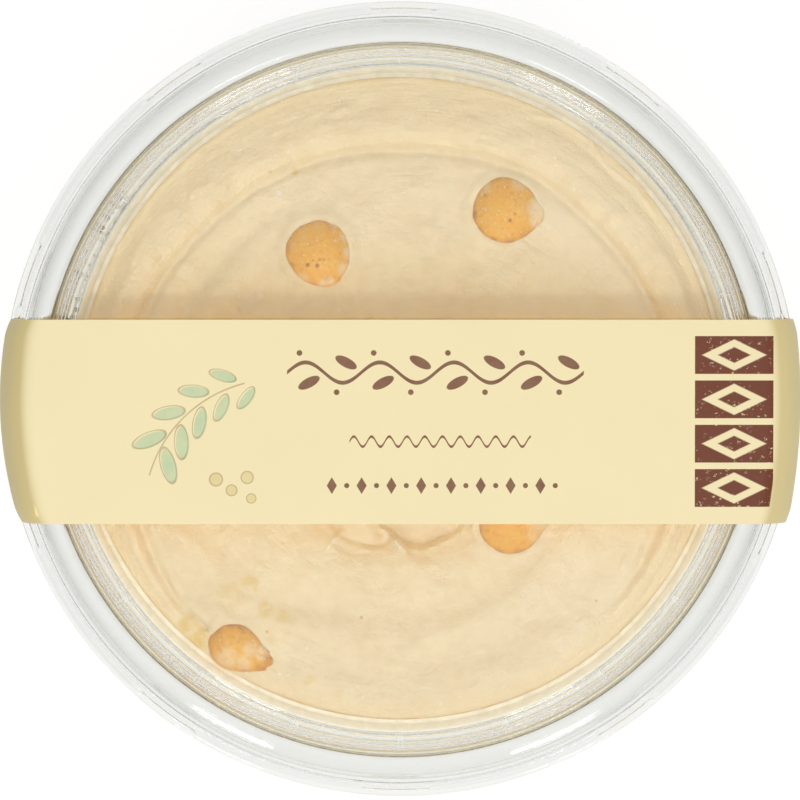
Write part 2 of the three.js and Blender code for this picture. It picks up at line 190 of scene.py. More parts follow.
class Tree:
    """The node tree of one material or of the world."""

    def __init__(self, owner: Material | bpy.types.World) -> None:
        """Starts an empty tree.

        Args:
            owner: What the tree dresses.
        """
        owner.use_nodes = True
        self.nodes = owner.node_tree.nodes
        self.links = owner.node_tree.links
        self.nodes.clear()

    def node(
        self, kind: str, sockets: Mapping[int | str, Entry] | None = None, **settings: object
    ) -> bpy.types.Node:
        """Adds a node.

        Args:
            kind: Its type.
            sockets: Values or links of its inputs, by name or number.
            **settings: Its properties, which are set first.

        Returns:
            The new node.
        """
        made = self.nodes.new(kind)
        for name, setting in settings.items():
            setattr(made, name, setting)
        for key, entry in (sockets or {}).items():
            socket = made.inputs[key]
            if isinstance(entry, Value):
                entry = entry.socket
            if isinstance(entry, Socket):
                self.links.new(entry, socket)
            elif socket.type == "RGBA":
                socket.default_value = (*entry, 1.0)
            else:
                socket.default_value = entry
        return made

    def value(self, kind: str, sockets: Mapping[int | str, Entry], **settings: object) -> Value:
        """Adds a node whose first result is a number, and gives that."""
        return Value(self, self.node(kind, sockets, **settings).outputs[0])

    def math(self, operation: str, *values: Number) -> Value:
        """Adds a Math node and gives its result."""
        return self.value("ShaderNodeMath", dict(enumerate(values)), operation=operation)

    def blend(self, share: Number, low: Entry, high: Entry, how: str = "MIX") -> Socket:
        """Mixes two colours: the first shows where the share is 0, the second where it is 1."""
        sockets = {"Factor": share, 6: low, 7: high}  # 6 and 7 are its two colours
        return self.node("ShaderNodeMix", sockets, data_type="RGBA", blend_type=how).outputs[2]

    def paint(self, colour: Entry, *layers: tuple[Number, Entry]) -> Socket:
        """Lays colours over a first one.

        Args:
            colour: The first colour.
            *layers: How much of a colour shows, and the colour, from the lowest up.

        Returns:
            The colour that shows.
        """
        for share, layer in layers:
            colour = self.blend(share, colour, layer)
        return colour

    def place(self) -> Socket:
        """Object coordinates."""
        return self.node("ShaderNodeTexCoord").outputs["Object"]

    def axes(self, vector: Socket, unit: float = MM) -> tuple[Value, ...]:
        """The three parts of a vector in a unit, which is a millimetre unless it is given."""
        split = self.node("ShaderNodeSeparateXYZ", {"Vector": vector})
        return tuple(Value(self, part) / unit for part in split.outputs)

    def noise(self, vector: Socket, size: float, detail: float = 2.0, rough: float = 0.5) -> Value:
        """Noise from 0 to 1, with lumps of a size and finer layers of a number and strength."""
        sockets = {"Vector": vector, "Scale": 1 / (size * MM), "Detail": detail, "Roughness": rough}
        return self.value("ShaderNodeTexNoise", sockets)

    def specks(self, vector: Socket, pitch: float, size: float, share: float) -> Value:
        """Scattered round specks as a mask.

        Args:
            vector: Where it is read.
            pitch: Mean distance between places.
            size: Radius of the largest speck.
            share: Share of the places that hold one.

        Returns:
            1 on a speck and 0 elsewhere.
        """
        cells = self.node("ShaderNodeTexVoronoi", {"Vector": vector, "Scale": 1 / (pitch * MM)})
        lots = self.node("ShaderNodeSeparateColor", {"Color": cells.outputs["Color"]})
        lot, spread, _ = (Value(self, part) for part in lots.outputs)
        radius = (0.45 + 0.55 * spread) * (size / pitch)
        inside = (Value(self, cells.outputs["Distance"]) / radius).below(0.55, 1.0)
        return inside * lot.math("LESS_THAN", share)

    def spots(self, x: Value, y: Value, spots: Iterable["Spot"]) -> Value:
        """Round soft spots as one mask.

        Args:
            x: Place to the right.
            y: Place to the back.
            spots: The spots.

        Returns:
            The mask, 0 outside them.
        """
        total = 0.0 * x
        for spot in spots:
            away = (x - spot.x).hypot(y - spot.y)
            total = total.most(away.below(spot.r * 0.35, spot.r) * spot.share)
        return total

    def bump(self, height: Value, depth: float) -> Socket:
        """The normal of a relief, whose depth is what a height of 1 stands for."""
        return self.node("ShaderNodeBump", {"Height": height, "Distance": depth * MM}).outputs[0]

    def principled(self, sockets: Mapping[str, Entry]) -> Socket:
        """Adds the shader of a whole surface."""
        return self.node("ShaderNodeBsdfPrincipled", sockets).outputs[0]


# ---- Finishes ----


class Spot(NamedTuple):
    """A round soft spot: its place, its radius and how strong it is."""

    x: float
    y: float
    r: float
    share: float


class Swirl(NamedTuple):
    """The round that the spoon has drawn in the dip: its middle and radius."""

    x: float = 0.0
    y: float = -4.1
    r: float = 41.3


@dataclass(frozen=True)
class Finish:
    """What all finishes share: a name, and how their material is made."""

    name: str

    def make(self) -> Material:
        """Builds the material.

        Returns:
            The material.
        """
        material = bpy.data.materials.new(self.name)
        tree = Tree(material)
        tree.node("ShaderNodeOutputMaterial", {"Surface": self.surface(tree)})
        return material

    def surface(self, tree: Tree) -> Socket:
        """Builds the surface's shader in a tree. Every finish has its own."""
        raise NotImplementedError


@dataclass(frozen=True)
class ClearPlastic(Finish):
    """Clear thin moulded plastic, which lets light through to what it covers."""

    tint: Colour = (0.885, 0.891, 0.872)
    rim_painted_shade: Colour = (0.85, 0.857, 0.838)
    rim: Pair = (53.1, 54.8)  # radii over which the rim's painted shade sets in, a deeper tint for the shaded floor seen through it
    shade: Colour = (0.985, 0.988, 0.98)
    roughness: float = 0.0
    refraction: float = 1.49
    wave: float = 6.0
    wave_deep: float = 0.0015

    def surface(self, tree: Tree) -> Socket:
        """Builds the shader, which soft light and shadows pass as if it were a thin tint.

        Args:
            tree: The material's tree.

        Returns:
            The shader.
        """
        place = tree.place()
        x, y, _ = tree.axes(place)
        shown = tree.principled(
            {
                # painted shade: the rim is tinted deeper, for the shaded floor seen through it
                "Base Color": tree.blend(x.hypot(y).above(*self.rim), self.tint, self.rim_painted_shade),
                "Roughness": self.roughness,
                "IOR": self.refraction,
                "Transmission Weight": 1.0,
                "Normal": tree.bump(tree.noise(place, self.wave, 1.0), self.wave_deep),
            }
        )
        path = tree.node("ShaderNodeLightPath")
        for ray in ("Is Diffuse Ray", "Is Shadow Ray"):
            through = tree.node("ShaderNodeBsdfTransparent", {"Color": self.shade})
            sockets = {0: path.outputs[ray], 1: shown, 2: through.outputs[0]}
            shown = tree.node("ShaderNodeMixShader", sockets).outputs[0]
        return shown


@dataclass(frozen=True)
class HummusFinish(Finish):
    """Moist chickpea paste: pale, finely grained, with oil at the wall and a few specks."""

    name: str = "hummus_paste"
    swirl: Swirl = Swirl()
    top_z: Pair = (31.0, 32.2)  # heights above which it is the upper surface
    pale: Colour = (0.89, 0.72, 0.445)
    deep: Colour = (0.82, 0.63, 0.36)
    warm: Colour = (0.90, 0.69, 0.38)
    painted_haze: Colour = (0.90, 0.755, 0.52)
    painted_haze_x: Pair = (8.0, 34.0)  # over which its right side turns paler and cooler, a painted reflection of the lid's whitish haze
    oil: Colour = (0.80, 0.55, 0.15)
    pool_r: Pair = (46.9, 48.1)  # radii over which the oil at the wall sets in
    speck: Colour = (0.62, 0.30, 0.07)
    # pale flecks: partly grains of the paste, partly painted glints
    fleck_and_glint: Colour = (0.97, 0.90, 0.74)
    painted_shade: Colour = (0.89, 0.85, 0.74)  # painted shade: the card's warm shade, multiplied into the dip behind the sleeve
    painted_shade_front: Pair = (-14.0, -6.0)
    painted_shade_back: Pair = (14.0, 27.0)
    painted_shade_sides: Pair = (26.0, 42.0)
    wet: float = 0.4
    relief: float = 0.6
    streak_turn: float = 4.0  # streak pattern for each radian round the swirl
    stains: Sequence[Spot] = (
        Spot(-29.9, -35.8, 2.4, 1.0), Spot(-31.6, -33.8, 2.2, 0.8), Spot(-27.0, -39.6, 1.6, 0.5),
        Spot(-22.6, -27.9, 2.2, 0.85), Spot(-20.0, -31.4, 1.7, 0.75), Spot(-17.6, -32.4, 1.5, 0.6),
        Spot(-18.6, -35.3, 1.8, 0.6), Spot(-25.2, -29.4, 2.8, 0.45), Spot(-15.8, 33.9, 0.9, 0.8),
        Spot(-13.6, -42.2, 1.4, 0.5),
    )
    crumbs: Sequence[Spot] = (
        Spot(-5.8, -32.6, 0.34, 0.7), Spot(-4.6, -32.9, 0.2, 0.4), Spot(29.2, -30.1, 0.3, 0.6),
        Spot(-19.9, -34.7, 0.32, 0.6), Spot(-19.3, 33.8, 0.4, 0.4), Spot(-29.6, -16.6, 0.3, 0.4),
    )
    painted_tip_highlights: Sequence[Spot] = (  # painted highlights on the pulled tips of the curl
        Spot(-0.4, -21.4, 0.8, 0.55), Spot(0.1, -22.0, 0.7, 0.5), Spot(0.6, -22.6, 0.6, 0.4),
        Spot(-2.2, -21.3, 1.0, 0.4), Spot(-9.9, -21.0, 0.7, 0.4), Spot(-10.7, -22.1, 0.6, 0.35),
    )

    def surface(self, tree: Tree) -> Socket:
        """Builds the shader.

        Args:
            tree: The material's tree.

        Returns:
            The shader.
        """
        place = tree.place()
        x, y, z = tree.axes(place)
        top = z.above(*self.top_z)
        side, ahead = x - self.swirl.x, y - self.swirl.y
        reach = side.hypot(ahead)
        round_swirl = ahead.math("ARCTAN2", side) * (self.streak_turn * MM)
        wrapped = tree.node("ShaderNodeCombineXYZ", {"X": reach * MM, "Y": round_swirl})
        streak = tree.noise(wrapped.outputs[0], 0.8, 3.0, 0.55)
        broad = tree.noise(place, 9.0, 3.0)
        mottle = tree.noise(place, 2.1, 3.0, 0.62)
        grain = tree.noise(place, 0.5, 2.0, 0.6)
        outside = reach.above(self.swirl.r - 0.6, self.swirl.r + 1.2)
        torn = tree.noise(place, 7.0).above(0.5, 0.62).most(outside * 0.8)
        shade = broad.above(0.3, 0.75) * 0.4 + mottle.above(0.38, 0.66) * 0.45
        shade += streak.above(0.45, 0.7) * 0.25
        pool = x.hypot(y).above(*self.pool_r) * tree.noise(place, 5.0, 3.0).above(0.35, 0.65)
        stain = tree.spots(x, y, self.stains) * mottle.above(0.3, 0.6) * top
        # pale flecks, partly grains and partly painted glints, joined by the painted highlights of
        # the curl's tips
        flecks_and_glints = tree.specks(place, 1.2, 0.36, 0.5).most(tree.specks(place, 3.1, 0.6, 0.3))
        flecks_and_glints = (flecks_and_glints * (0.14 + 0.36 * torn)).most(tree.spots(x, y, self.painted_tip_highlights) * top)
        colour = tree.paint(
            self.pale,
            (shade, self.deep),
            # painted reflection: the lid's whitish haze over the dip's right side
            (x.above(*self.painted_haze_x) * 0.5, self.painted_haze),
            (outside * 0.4, self.warm),
            ((pool * 0.5).most(stain), self.oil),
            (flecks_and_glints * 0.85, self.fleck_and_glint),
        )
        # painted shade behind the sleeve, lighter towards its ends
        painted_shade = y.below(*self.painted_shade_back) * y.above(*self.painted_shade_front) * top
        painted_shade *= 1.0 - 0.5 * abs(x).above(*self.painted_shade_sides)
        colour = tree.blend(painted_shade, colour, self.painted_shade, "MULTIPLY")
        crumbs = tree.spots(x, y, self.crumbs) * top
        brown = (tree.specks(place, 5.2, 0.2, 0.1) * 0.4).most(crumbs)
        relief = 0.5 * mottle + 0.2 * grain * (0.5 + 0.5 * torn) + 0.15 * flecks_and_glints
        relief += streak * (0.06 + 0.3 * torn)
        return tree.principled(
            {
                "Base Color": tree.blend(brown, colour, self.speck),
                "Roughness": self.wet + 0.25 * mottle - 0.15 * torn,
                "Subsurface Weight": 0.35,
                "Subsurface Radius": (1.2, 0.9, 0.55),
                "Subsurface Scale": MM,
                "Normal": tree.bump(relief, self.relief),
            }
        )


@dataclass(frozen=True)
class FilmFinish(Finish):
    """A thin film or frosting that half covers what it lies on, with a faint painted glow at the
    front.
    """

    name: str = "paste_film"
    shade: Colour = (0.91, 0.82, 0.63)
    thin: float = 0.6
    thick: float = 0.88
    glow: float = 0.18  # painted glow at the front, for the light that the clear wall behind it lets through
    painted_glow_y: Pair = (-45.0, 15.0)
    patches: float = 3.0
    roughness: float = 0.35

    def surface(self, tree: Tree) -> Socket:
        """Builds the shader.

        Args:
            tree: The material's tree.

        Returns:
            The shader.
        """
        place = tree.place()
        cover = tree.noise(place, self.patches, 3.0).above(0.3, 0.7)
        front = tree.axes(place)[1].below(*self.painted_glow_y)
        return tree.principled(
            {
                "Base Color": self.shade,
                "Roughness": self.roughness,
                "Alpha": self.thin + (self.thick - self.thin) * cover,
                # painted light: a faint glow at the front
                "Emission Color": tree.blend(front, BLACK, self.shade),
                "Emission Strength": self.glow,
            }
        )


@dataclass(frozen=True)
class ChickpeaFinish(Finish):
    """Cooked chickpea skin, orange tan, smeared with paste at its rim, grained and pitted."""

    name: str = "chickpea_skin"
    skin: Colour = (0.94, 0.45, 0.03)
    gold: Colour = (0.96, 0.485, 0.015)
    deep: Colour = (0.72, 0.28, 0.015)
    pale: Colour = (0.94, 0.61, 0.19)
    # pale specks: partly grains of the skin, partly painted glints
    speck: Colour = (0.98, 0.78, 0.42)
    pit: Colour = (0.46, 0.17, 0.02)
    flesh: Colour = (0.98, 0.72, 0.41)
    brown: Colour = (0.54, 0.20, 0.03)
    sunk: Pair = (34.0, 35.0)  # heights between which the painted shade low on the rim, where it sinks into the dip, fades
    relief: float = 0.5
    bare: Sequence[Spot] = (  # where pale flesh or a smear of paste shows, mostly at the rims
        Spot(-9.6, 26.6, 1.6, 0.7), Spot(-7.7, 24.4, 1.7, 0.8), Spot(-7.2, 21.8, 1.7, 0.8),
        Spot(-8.2, 19.2, 1.5, 0.7), Spot(-10.8, 16.8, 1.9, 0.9), Spot(-14.6, 17.8, 1.4, 0.5),
        Spot(20.6, 28.4, 2.4, 1.0), Spot(20.6, 26.6, 2.0, 0.9), Spot(17.8, 32.2, 1.8, 0.5),
        Spot(12.2, 31.7, 1.8, 0.5), Spot(20.8, -18.0, 2.8, 0.8), Spot(20.2, -20.2, 1.8, 0.5),
        Spot(-22.2, -37.2, 1.8, 0.6), Spot(-20.6, -37.8, 1.6, 0.8), Spot(-25.8, -38.6, 2.4, 0.6),
        Spot(-23.4, -39.4, 1.8, 0.6),
    )
    browned: Sequence[Spot] = (  # where the skin is brown and grainy
        Spot(-19.3, -39.2, 1.6, 0.5), Spot(-20.8, -40.2, 1.2, 0.45), Spot(-23.4, -41.0, 1.2, 0.5),
        Spot(-25.2, -33.3, 1.2, 0.75), Spot(-23.4, -34.0, 1.2, 0.7), Spot(-27.2, -34.2, 1.1, 0.6),
        Spot(-14.9, 26.1, 0.9, 0.8), Spot(-13.7, 26.7, 0.8, 0.9), Spot(-12.4, 27.0, 0.7, 0.6),
        Spot(-17.0, 22.4, 1.0, 0.5), Spot(-16.3, 19.8, 1.0, 0.6), Spot(-11.0, 18.0, 0.9, 0.4),
        Spot(-10.5, 25.6, 0.7, 0.35), Spot(10.4, 29.0, 1.0, 0.75), Spot(10.7, 27.2, 1.2, 0.85),
        Spot(11.7, 24.9, 1.0, 0.6), Spot(13.8, 23.4, 1.1, 0.6), Spot(16.3, 23.3, 1.1, 0.6),
        Spot(18.4, 24.2, 1.0, 0.55), Spot(11.3, -19.4, 1.2, 0.7), Spot(12.2, -21.4, 1.1, 0.6),
        Spot(14.6, -23.0, 1.2, 0.5), Spot(17.6, -22.8, 1.0, 0.4),
    )
    pits: Sequence[Spot] = (
        Spot(-13.7, 20.0, 0.42, 1.0), Spot(-12.3, 19.9, 0.45, 1.0), Spot(-11.9, 20.8, 0.3, 0.7),
        Spot(-12.9, 20.7, 0.28, 0.6), Spot(16.3, 26.6, 0.42, 0.9), Spot(17.0, 27.6, 0.34, 0.6),
        Spot(12.6, 30.3, 0.36, 0.5),
    )

    def surface(self, tree: Tree) -> Socket:
        """Builds the shader.

        Args:
            tree: The material's tree.

        Returns:
            The shader.
        """
        place = tree.place()
        x, y, z = tree.axes(place)
        cloud = tree.noise(place, 3.4, 3.0)
        patch = tree.noise(place, 1.5, 4.0, 0.65)
        grain = tree.noise(place, 0.55, 3.0, 0.65)
        # pale specks, partly grains and partly painted glints
        grains_and_glints = tree.specks(place, 0.66, 0.26, 0.7) * cloud.below(0.4, 0.75)
        pits = tree.specks(place, 1.9, 0.3, 0.12) * 0.5
        browned = tree.spots(x, y, self.browned) * (0.45 + 0.55 * grain.above(0.4, 0.6))
        colour = tree.paint(
            self.skin,
            (patch.above(0.35, 0.65) * 0.7, self.gold),
            (cloud.above(0.45, 0.75) * 0.5, self.pale),
            # painted shade low on the rim, where the pea sinks into the dip
            (z.below(*self.sunk) * 0.5, self.deep),
            (grain.above(0.5, 0.68) * 0.5, self.deep),
            (tree.spots(x, y, self.bare) * patch.above(0.2, 0.5), self.flesh),
            (browned, self.brown),
            (grains_and_glints * 0.7, self.speck),
            (pits.most(tree.spots(x, y, self.pits)), self.pit),
        )
        return tree.principled(
            {
                "Base Color": colour,
                "Roughness": 0.46 + 0.3 * grain,
                "Specular IOR Level": 0.28,
                "Subsurface Weight": 0.3,
                "Subsurface Radius": (0.9, 0.5, 0.25),
                "Subsurface Scale": MM,
                "Normal": tree.bump(0.5 * grain + 0.4 * patch + 0.2 * grains_and_glints, self.relief),
            }
        )


@dataclass(frozen=True)
class CardPrint:
    """The print on the sleeve's upper strip: tiles, a vine, two rows of marks and a sprig."""

    x: Value
    y: Value
    edge: float = 0.045  # softness of the ink's edge
    tiles_at: Pair = (49.3, 9.6)  # middle of the column's top edge
    tile: Pair = (11.6, 5.6)
    tile_pitch: float = 6.55
    tile_count: int = 4
    tile_early: float = 0.07  # how much sooner the column starts and ends than its cells
    diamond: Pair = (0.42, 0.82)  # inner and outer size of the diamond cut out of a tile
    vine_at: Pair = (-16.7, 4.2)
    vine_long: float = 43.8
    vine_pitch: float = 5.475
    vine_high: float = 1.5
    vine_line: float = 0.3
    vine_leaf: Pair = (1.75, 0.72)
    vine_leaf_lean: float = 28.0
    vine_bud: float = 0.42
    wave_at: Pair = (-7.5, -6.0)
    wave_long: float = 26.8
    wave_pitch: float = 1.309
    wave_high: float = 0.75
    wave_line: float = 0.2
    beads_at: Pair = (-11.2, -12.5)
    beads_long: float = 35.2
    beads_pitch: float = 2.2
    bead: Pair = (0.75, 1.25)
    dot: float = 0.38
    stem_at: Pair = (-18.2, -16.4)  # middle of the arc that the stem follows
    stem_r: float = 19.6
    stem_turns: Pair = (104.0, 164.0)
    stem_line: float = 0.11
    leaf_turns: Pair = (102.0, 160.0)
    leaves: int = 9
    leaf: Pair = (2.5, 1.0)
    leaf_scales: Pair = (0.75, 1.1)
    leaf_out: float = 2.1
    leaf_lean: float = 38.0
    leaf_line: float = 0.07
    berry_line: float = 0.1
    berries: Sequence[Spot] = (
        Spot(-27.2, -11.6, 0.95, 1.0), Spot(-24.9, -13.2, 0.8, 1.0), Spot(-22.6, -11.3, 0.9, 1.0),
        Spot(-22.0, -14.4, 0.7, 1.0),
    )

    def inside(self, value: Value, limit: float = 1.0) -> Value:
        """1 where a value is under a limit."""
        return value.below(limit - self.edge, limit + self.edge)

    def span(self, value: Value, start: float, end: float) -> Value:
        """1 between two places."""
        return self.inside(abs(value - (start + end) / 2), (end - start) / 2)

    def wavy(self, along: Value, off: Value, pitch: float, high: float, half: float) -> Value:
        """A wavy line, whose bends are a pitch long and high, and which has a half width."""
        rise = (along * (math.pi / pitch)).math("SINE") * high
        return self.inside(abs(off - rise), half)

    @staticmethod
    def oval(x: Value, y: Value, half: Pair, turn: float = 0.0) -> Value:
        """Distance from the middle of a turned oval, 1 on its edge."""
        along, across = swung(x, y, turn)
        return (along / half[0]).hypot(across / half[1])

    @staticmethod
    def cells(along: Value, pitch: float) -> tuple[Value, Value]:
        """Cuts a row into cells.

        Args:
            along: Place along the row.
            pitch: Length of a cell.

        Returns:
            1 in every other cell, and the place from the cell's middle.
        """
        cell = along / pitch
        index = cell.math("FLOOR")
        return index.math("MODULO", 2.0), (cell - index - 0.5) * pitch

    def tiles(self) -> Value:
        """The column of tiles, each with a diamond in a diamond cut out.

        Returns:
            1 where there is ink.
        """
        wide, tall = self.tile[0] / 2, self.tile[1] / 2
        u = abs(self.x - self.tiles_at[0])
        cell = (self.tiles_at[1] - self.y) / self.tile_pitch
        gap = (self.tile_pitch - self.tile[1]) / 2
        v = abs((cell.math("FRACT") - 0.5) * self.tile_pitch + gap)
        body = self.inside(u, wide) * self.inside(v, tall)
        body *= self.span(cell, -self.tile_early, self.tile_count - self.tile_early)
        return body * (1.0 - self.span(u / wide + v / tall, *self.diamond))

    def vine(self) -> Value:
        """The wavy vine, with a leaf and a bud in every bend.

        Returns:
            1 where there is ink.
        """
        along, off = self.x - self.vine_at[0], self.y - self.vine_at[1]
        line = self.wavy(along, off, self.vine_pitch, self.vine_high, self.vine_line)
        odd, u = self.cells(along, self.vine_pitch)
        v = off * (1.0 - 2.0 * odd)
        leaf = self.inside(self.oval(u - 0.5, v + 1.5, self.vine_leaf, self.vine_leaf_lean))
        bud = self.inside(self.oval(u + 0.9, v - 2.9, (self.vine_bud, self.vine_bud)))
        return line.most(leaf).most(bud) * self.span(along, 0.0, self.vine_long)

    def rows(self) -> Value:
        """A thin wave over a row of small diamonds and dots.

        Returns:
            1 where there is ink.
        """
        along, off = self.x - self.wave_at[0], self.y - self.wave_at[1]
        wave = self.wavy(along, off, self.wave_pitch, self.wave_high, self.wave_line)
        wave *= self.span(along, 0.0, self.wave_long)
        along, v = self.x - self.beads_at[0], abs(self.y - self.beads_at[1])
        odd, u = self.cells(along, self.beads_pitch)
        u = abs(u)
        diamond = self.inside(u / self.bead[0] + v / self.bead[1]) * (1.0 - odd)
        dot = self.inside(self.oval(u, v, (self.dot, self.dot))) * odd
        return wave.most((diamond + dot) * self.span(along, 0.0, self.beads_long))

    def sprig(self) -> tuple[Value, Value, Value]:
        """The sprig.

        Returns:
            Its thin outlines, the green wash of its leaves and its ochre berries.
        """
        side, ahead = self.x - self.stem_at[0], self.y - self.stem_at[1]
        turn = ahead.math("ARCTAN2", side) * (180 / math.pi)
        lines = self.inside(abs(side.hypot(ahead) - self.stem_r), self.stem_line)
        lines *= self.span(turn, *self.stem_turns)
        green = ochre = 0.0 * self.x
        for index in range(self.leaves):
            share = (index + 0.5) / self.leaves
            at = mix(*self.leaf_turns, share)
            way = 1 if index % 2 else -1
            middle = direction(at, 0.0) * (self.stem_r + way * self.leaf_out)
            u, v = side - middle.x, ahead - middle.y
            scale = mix(*self.leaf_scales, share)
            half = (self.leaf[0] * scale, self.leaf[1] * scale)
            lean = at - 90 - way * self.leaf_lean
            lines = lines.most(self.inside(abs(self.oval(u, v, half, lean) - 1.0), self.leaf_line))
            green = green.most(self.inside(self.oval(u - 0.2, v + 0.15, half, lean), 0.97))
        for berry in self.berries:
            away = self.oval(self.x - berry.x, self.y - berry.y, (berry.r, berry.r))
            lines = lines.most(self.inside(abs(away - 1.0), self.berry_line))
            ochre = ochre.most(self.inside(away))
        return lines, green, ochre


@dataclass(frozen=True)
class CardFinish(Finish):
    """Smooth satin card in pale cream yellow, bare or printed; the printed one carries painted
    shade on its folded sides.
    """

    card: Colour
    printed: bool
    ink: Colour = (0.15, 0.032, 0.008)
    line_ink: Colour = (0.36, 0.24, 0.11)
    green: Colour = (0.36, 0.55, 0.33)
    ochre: Colour = (0.66, 0.53, 0.18)
    cloud: float = 0.955  # how much darker its clouds are
    painted_side_shade: Colour = (0.80, 0.765, 0.64)  # painted shade multiplied into the folded sides, for the shade on their steep slopes
    folded_z: Pair = (40.8, 41.45)
    left: Colour = (0.91, 0.91, 0.89)  # more painted shade on the left side
    left_x: Pair = (-58.0, -52.0)
    print_z: Pair = (41.05, 41.15)  # heights above which the print lies
    fibre_deep: float = 0.012

    def surface(self, tree: Tree) -> Socket:
        """Builds the shader.

        Args:
            tree: The material's tree.

        Returns:
            The shader.
        """
        place = tree.place()
        tone = tree.noise(place, 14.0, 3.0)
        fibre = tree.noise(place, 0.35, 2.0, 0.6)
        shade = tuple(part * self.cloud for part in self.card)
        colour = tree.blend(tone.above(0.3, 0.75) * 0.5 + fibre * 0.2, self.card, shade)
        if self.printed:
            x, _, z = tree.axes(place)
            # painted shade on the folded sides, deeper again on the left
            painted_side_shade = z.below(*self.folded_z)
            colour = tree.blend(painted_side_shade, colour, self.painted_side_shade, "MULTIPLY")
            colour = tree.blend(painted_side_shade * x.below(*self.left_x), colour, self.left, "MULTIPLY")
            colour = self.add_print(tree, place, colour)
        return tree.principled(
            {
                "Base Color": colour,
                "Roughness": 0.4 + 0.1 * fibre,
                "Specular IOR Level": 0.35,
                "Normal": tree.bump(fibre, self.fibre_deep),
            }
        )

    def add_print(self, tree: Tree, place: Socket, colour: Socket) -> Socket:
        """Adds the print to the card's colour.

        Args:
            tree: The material's tree.
            place: Object coordinates.
            colour: The bare card's colour.

        Returns:
            The printed card's colour.
        """
        x, y, z = tree.axes(place)
        printed = CardPrint(x, y)
        top = z.above(*self.print_z)
        wash = tree.noise(place, 2.6, 4.0, 0.6)
        wear = tree.noise(place, 0.55, 4.0, 0.7).above(0.6, 0.66)
        wear *= tree.noise(place, 3.5).above(0.35, 0.6)
        lines, green, ochre = printed.sprig()
        ink = printed.tiles() * (1.0 - 0.85 * wear)
        ink = ink.most(printed.vine().most(printed.rows()) * (0.8 + 0.2 * wash))
        return tree.paint(
            colour,
            (green * top * (0.35 + 0.5 * wash), self.green),
            (ochre * top * (0.3 + 0.5 * wash), self.ochre),
            (lines * top * (0.35 + 0.5 * wash), self.line_ink),
            (ink * top, self.ink),
        )


@dataclass(frozen=True)
class FloorFinish(Finish):
    """A plain pale studio floor."""

    name: str = "studio_floor"
    shade: Colour = (0.15, 0.15, 0.15)
    glow: float = 0.87

    def surface(self, tree: Tree) -> Socket:
        """Builds the shader in the material's tree."""
        return tree.principled(
            {
                "Base Color": self.shade,
                "Roughness": 0.9,
                "Specular IOR Level": 0.1,
                "Emission Color": WHITE,
                "Emission Strength": self.glow,
            }
        )


# ---- Shapes ----


class Corner(NamedTuple):
    """One corner of a profile, and how far along its sides it is rounded."""

    r: float
    z: float
    soft: float = 0.0


def set_off(line: Sequence[Corner], distance: float) -> list[Corner]:
    """A profile set off to its right, which is down where it runs outwards.

    Args:
        line: The profile.
        distance: How far it is set off.

    Returns:
        The new profile, in the same order.
    """
    points = [Vector((corner.r, corner.z)) for corner in line]
    sides = [(end - start).normalized() for start, end in zip(points, points[1:])]
    rights = [Vector((side.y, -side.x)) for side in sides]
    moved = []
    for index, (corner, point) in enumerate(zip(line, points)):
        before = rights[max(index - 1, 0)]
        after = rights[min(index, len(rights) - 1)]
        between = (before + after).normalized()
        point = point + between * (distance / between.dot(before))
        moved.append(Corner(point.x, point.y, corner.soft))
    return moved


def bevel(
    shape: Shape, parts: Sequence[Vert | Edge], affect: str, offset: float, segments: int
) -> list[Vert]:
    """Rounds vertices or edges, and gives the vertices that it leaves."""
    return bmesh.ops.bevel(
        shape, geom=parts, affect=affect, offset=offset, offset_type="OFFSET",
        segments=segments, profile=0.5, material=-1,
    )["verts"]


def wire(corners: Sequence[Corner], bend_steps: int, hold: float) -> Shape:
    """Starts a shape as a wire in the XZ plane, rounds its corners and holds its straights.

    Args:
        corners: The profile.
        bend_steps: Segments of each rounded corner.
        hold: Distance from a straight's ends at which a point keeps it flat.

    Returns:
        The shape, with the wire alone in it.
    """
    shape = bmesh.new()
    verts = [shape.verts.new((corner.r * MM, 0.0, corner.z * MM)) for corner in corners]
    for start, end in zip(verts, verts[1:]):
        shape.edges.new((start, end))
    for soft in sorted({corner.soft for corner in corners if corner.soft}):
        rounded = [vert for vert, corner in zip(verts, corners) if corner.soft == soft]
        bevel(shape, rounded, "VERTICES", soft * MM, bend_steps)
    for edge in [edge for edge in shape.edges if edge.calc_length() > 4 * hold * MM]:
        start = edge.verts[0]
        _, far = bmesh.utils.edge_split(edge, start, 1 - hold * MM / edge.calc_length())
        rest = next(link for link in far.link_edges if start in link.verts)
        bmesh.utils.edge_split(rest, start, hold * MM / rest.calc_length())
    return shape


def spin(shape: Shape, steps: int) -> None:
    """Turns a wire about the Z axis into a closed skin: an eighth is spun, then doubled thrice.

    Args:
        shape: The shape, changed in place.
        steps: Number of steps round, a multiple of eight.
    """
    eighth = TURN / 8
    bmesh.ops.spin(
        shape, geom=shape.verts[:] + shape.edges[:], cent=(0, 0, 0), axis=(0, 0, 1),
        dvec=(0, 0, 0), angle=eighth, steps=steps // 8, use_merge=False, use_duplicate=False,
    )
    for share in (1, 2, 4):
        parts = shape.verts[:] + shape.edges[:] + shape.faces[:]
        made = bmesh.ops.duplicate(shape, geom=parts)["geom"]
        verts = [part for part in made if isinstance(part, Vert)]
        turn = Matrix.Rotation(eighth * share, 3, "Z")
        bmesh.ops.rotate(shape, cent=(0, 0, 0), matrix=turn, verts=verts)
    bmesh.ops.remove_doubles(shape, verts=shape.verts, dist=MERGE)
    bmesh.ops.recalc_face_normals(shape, faces=shape.faces)


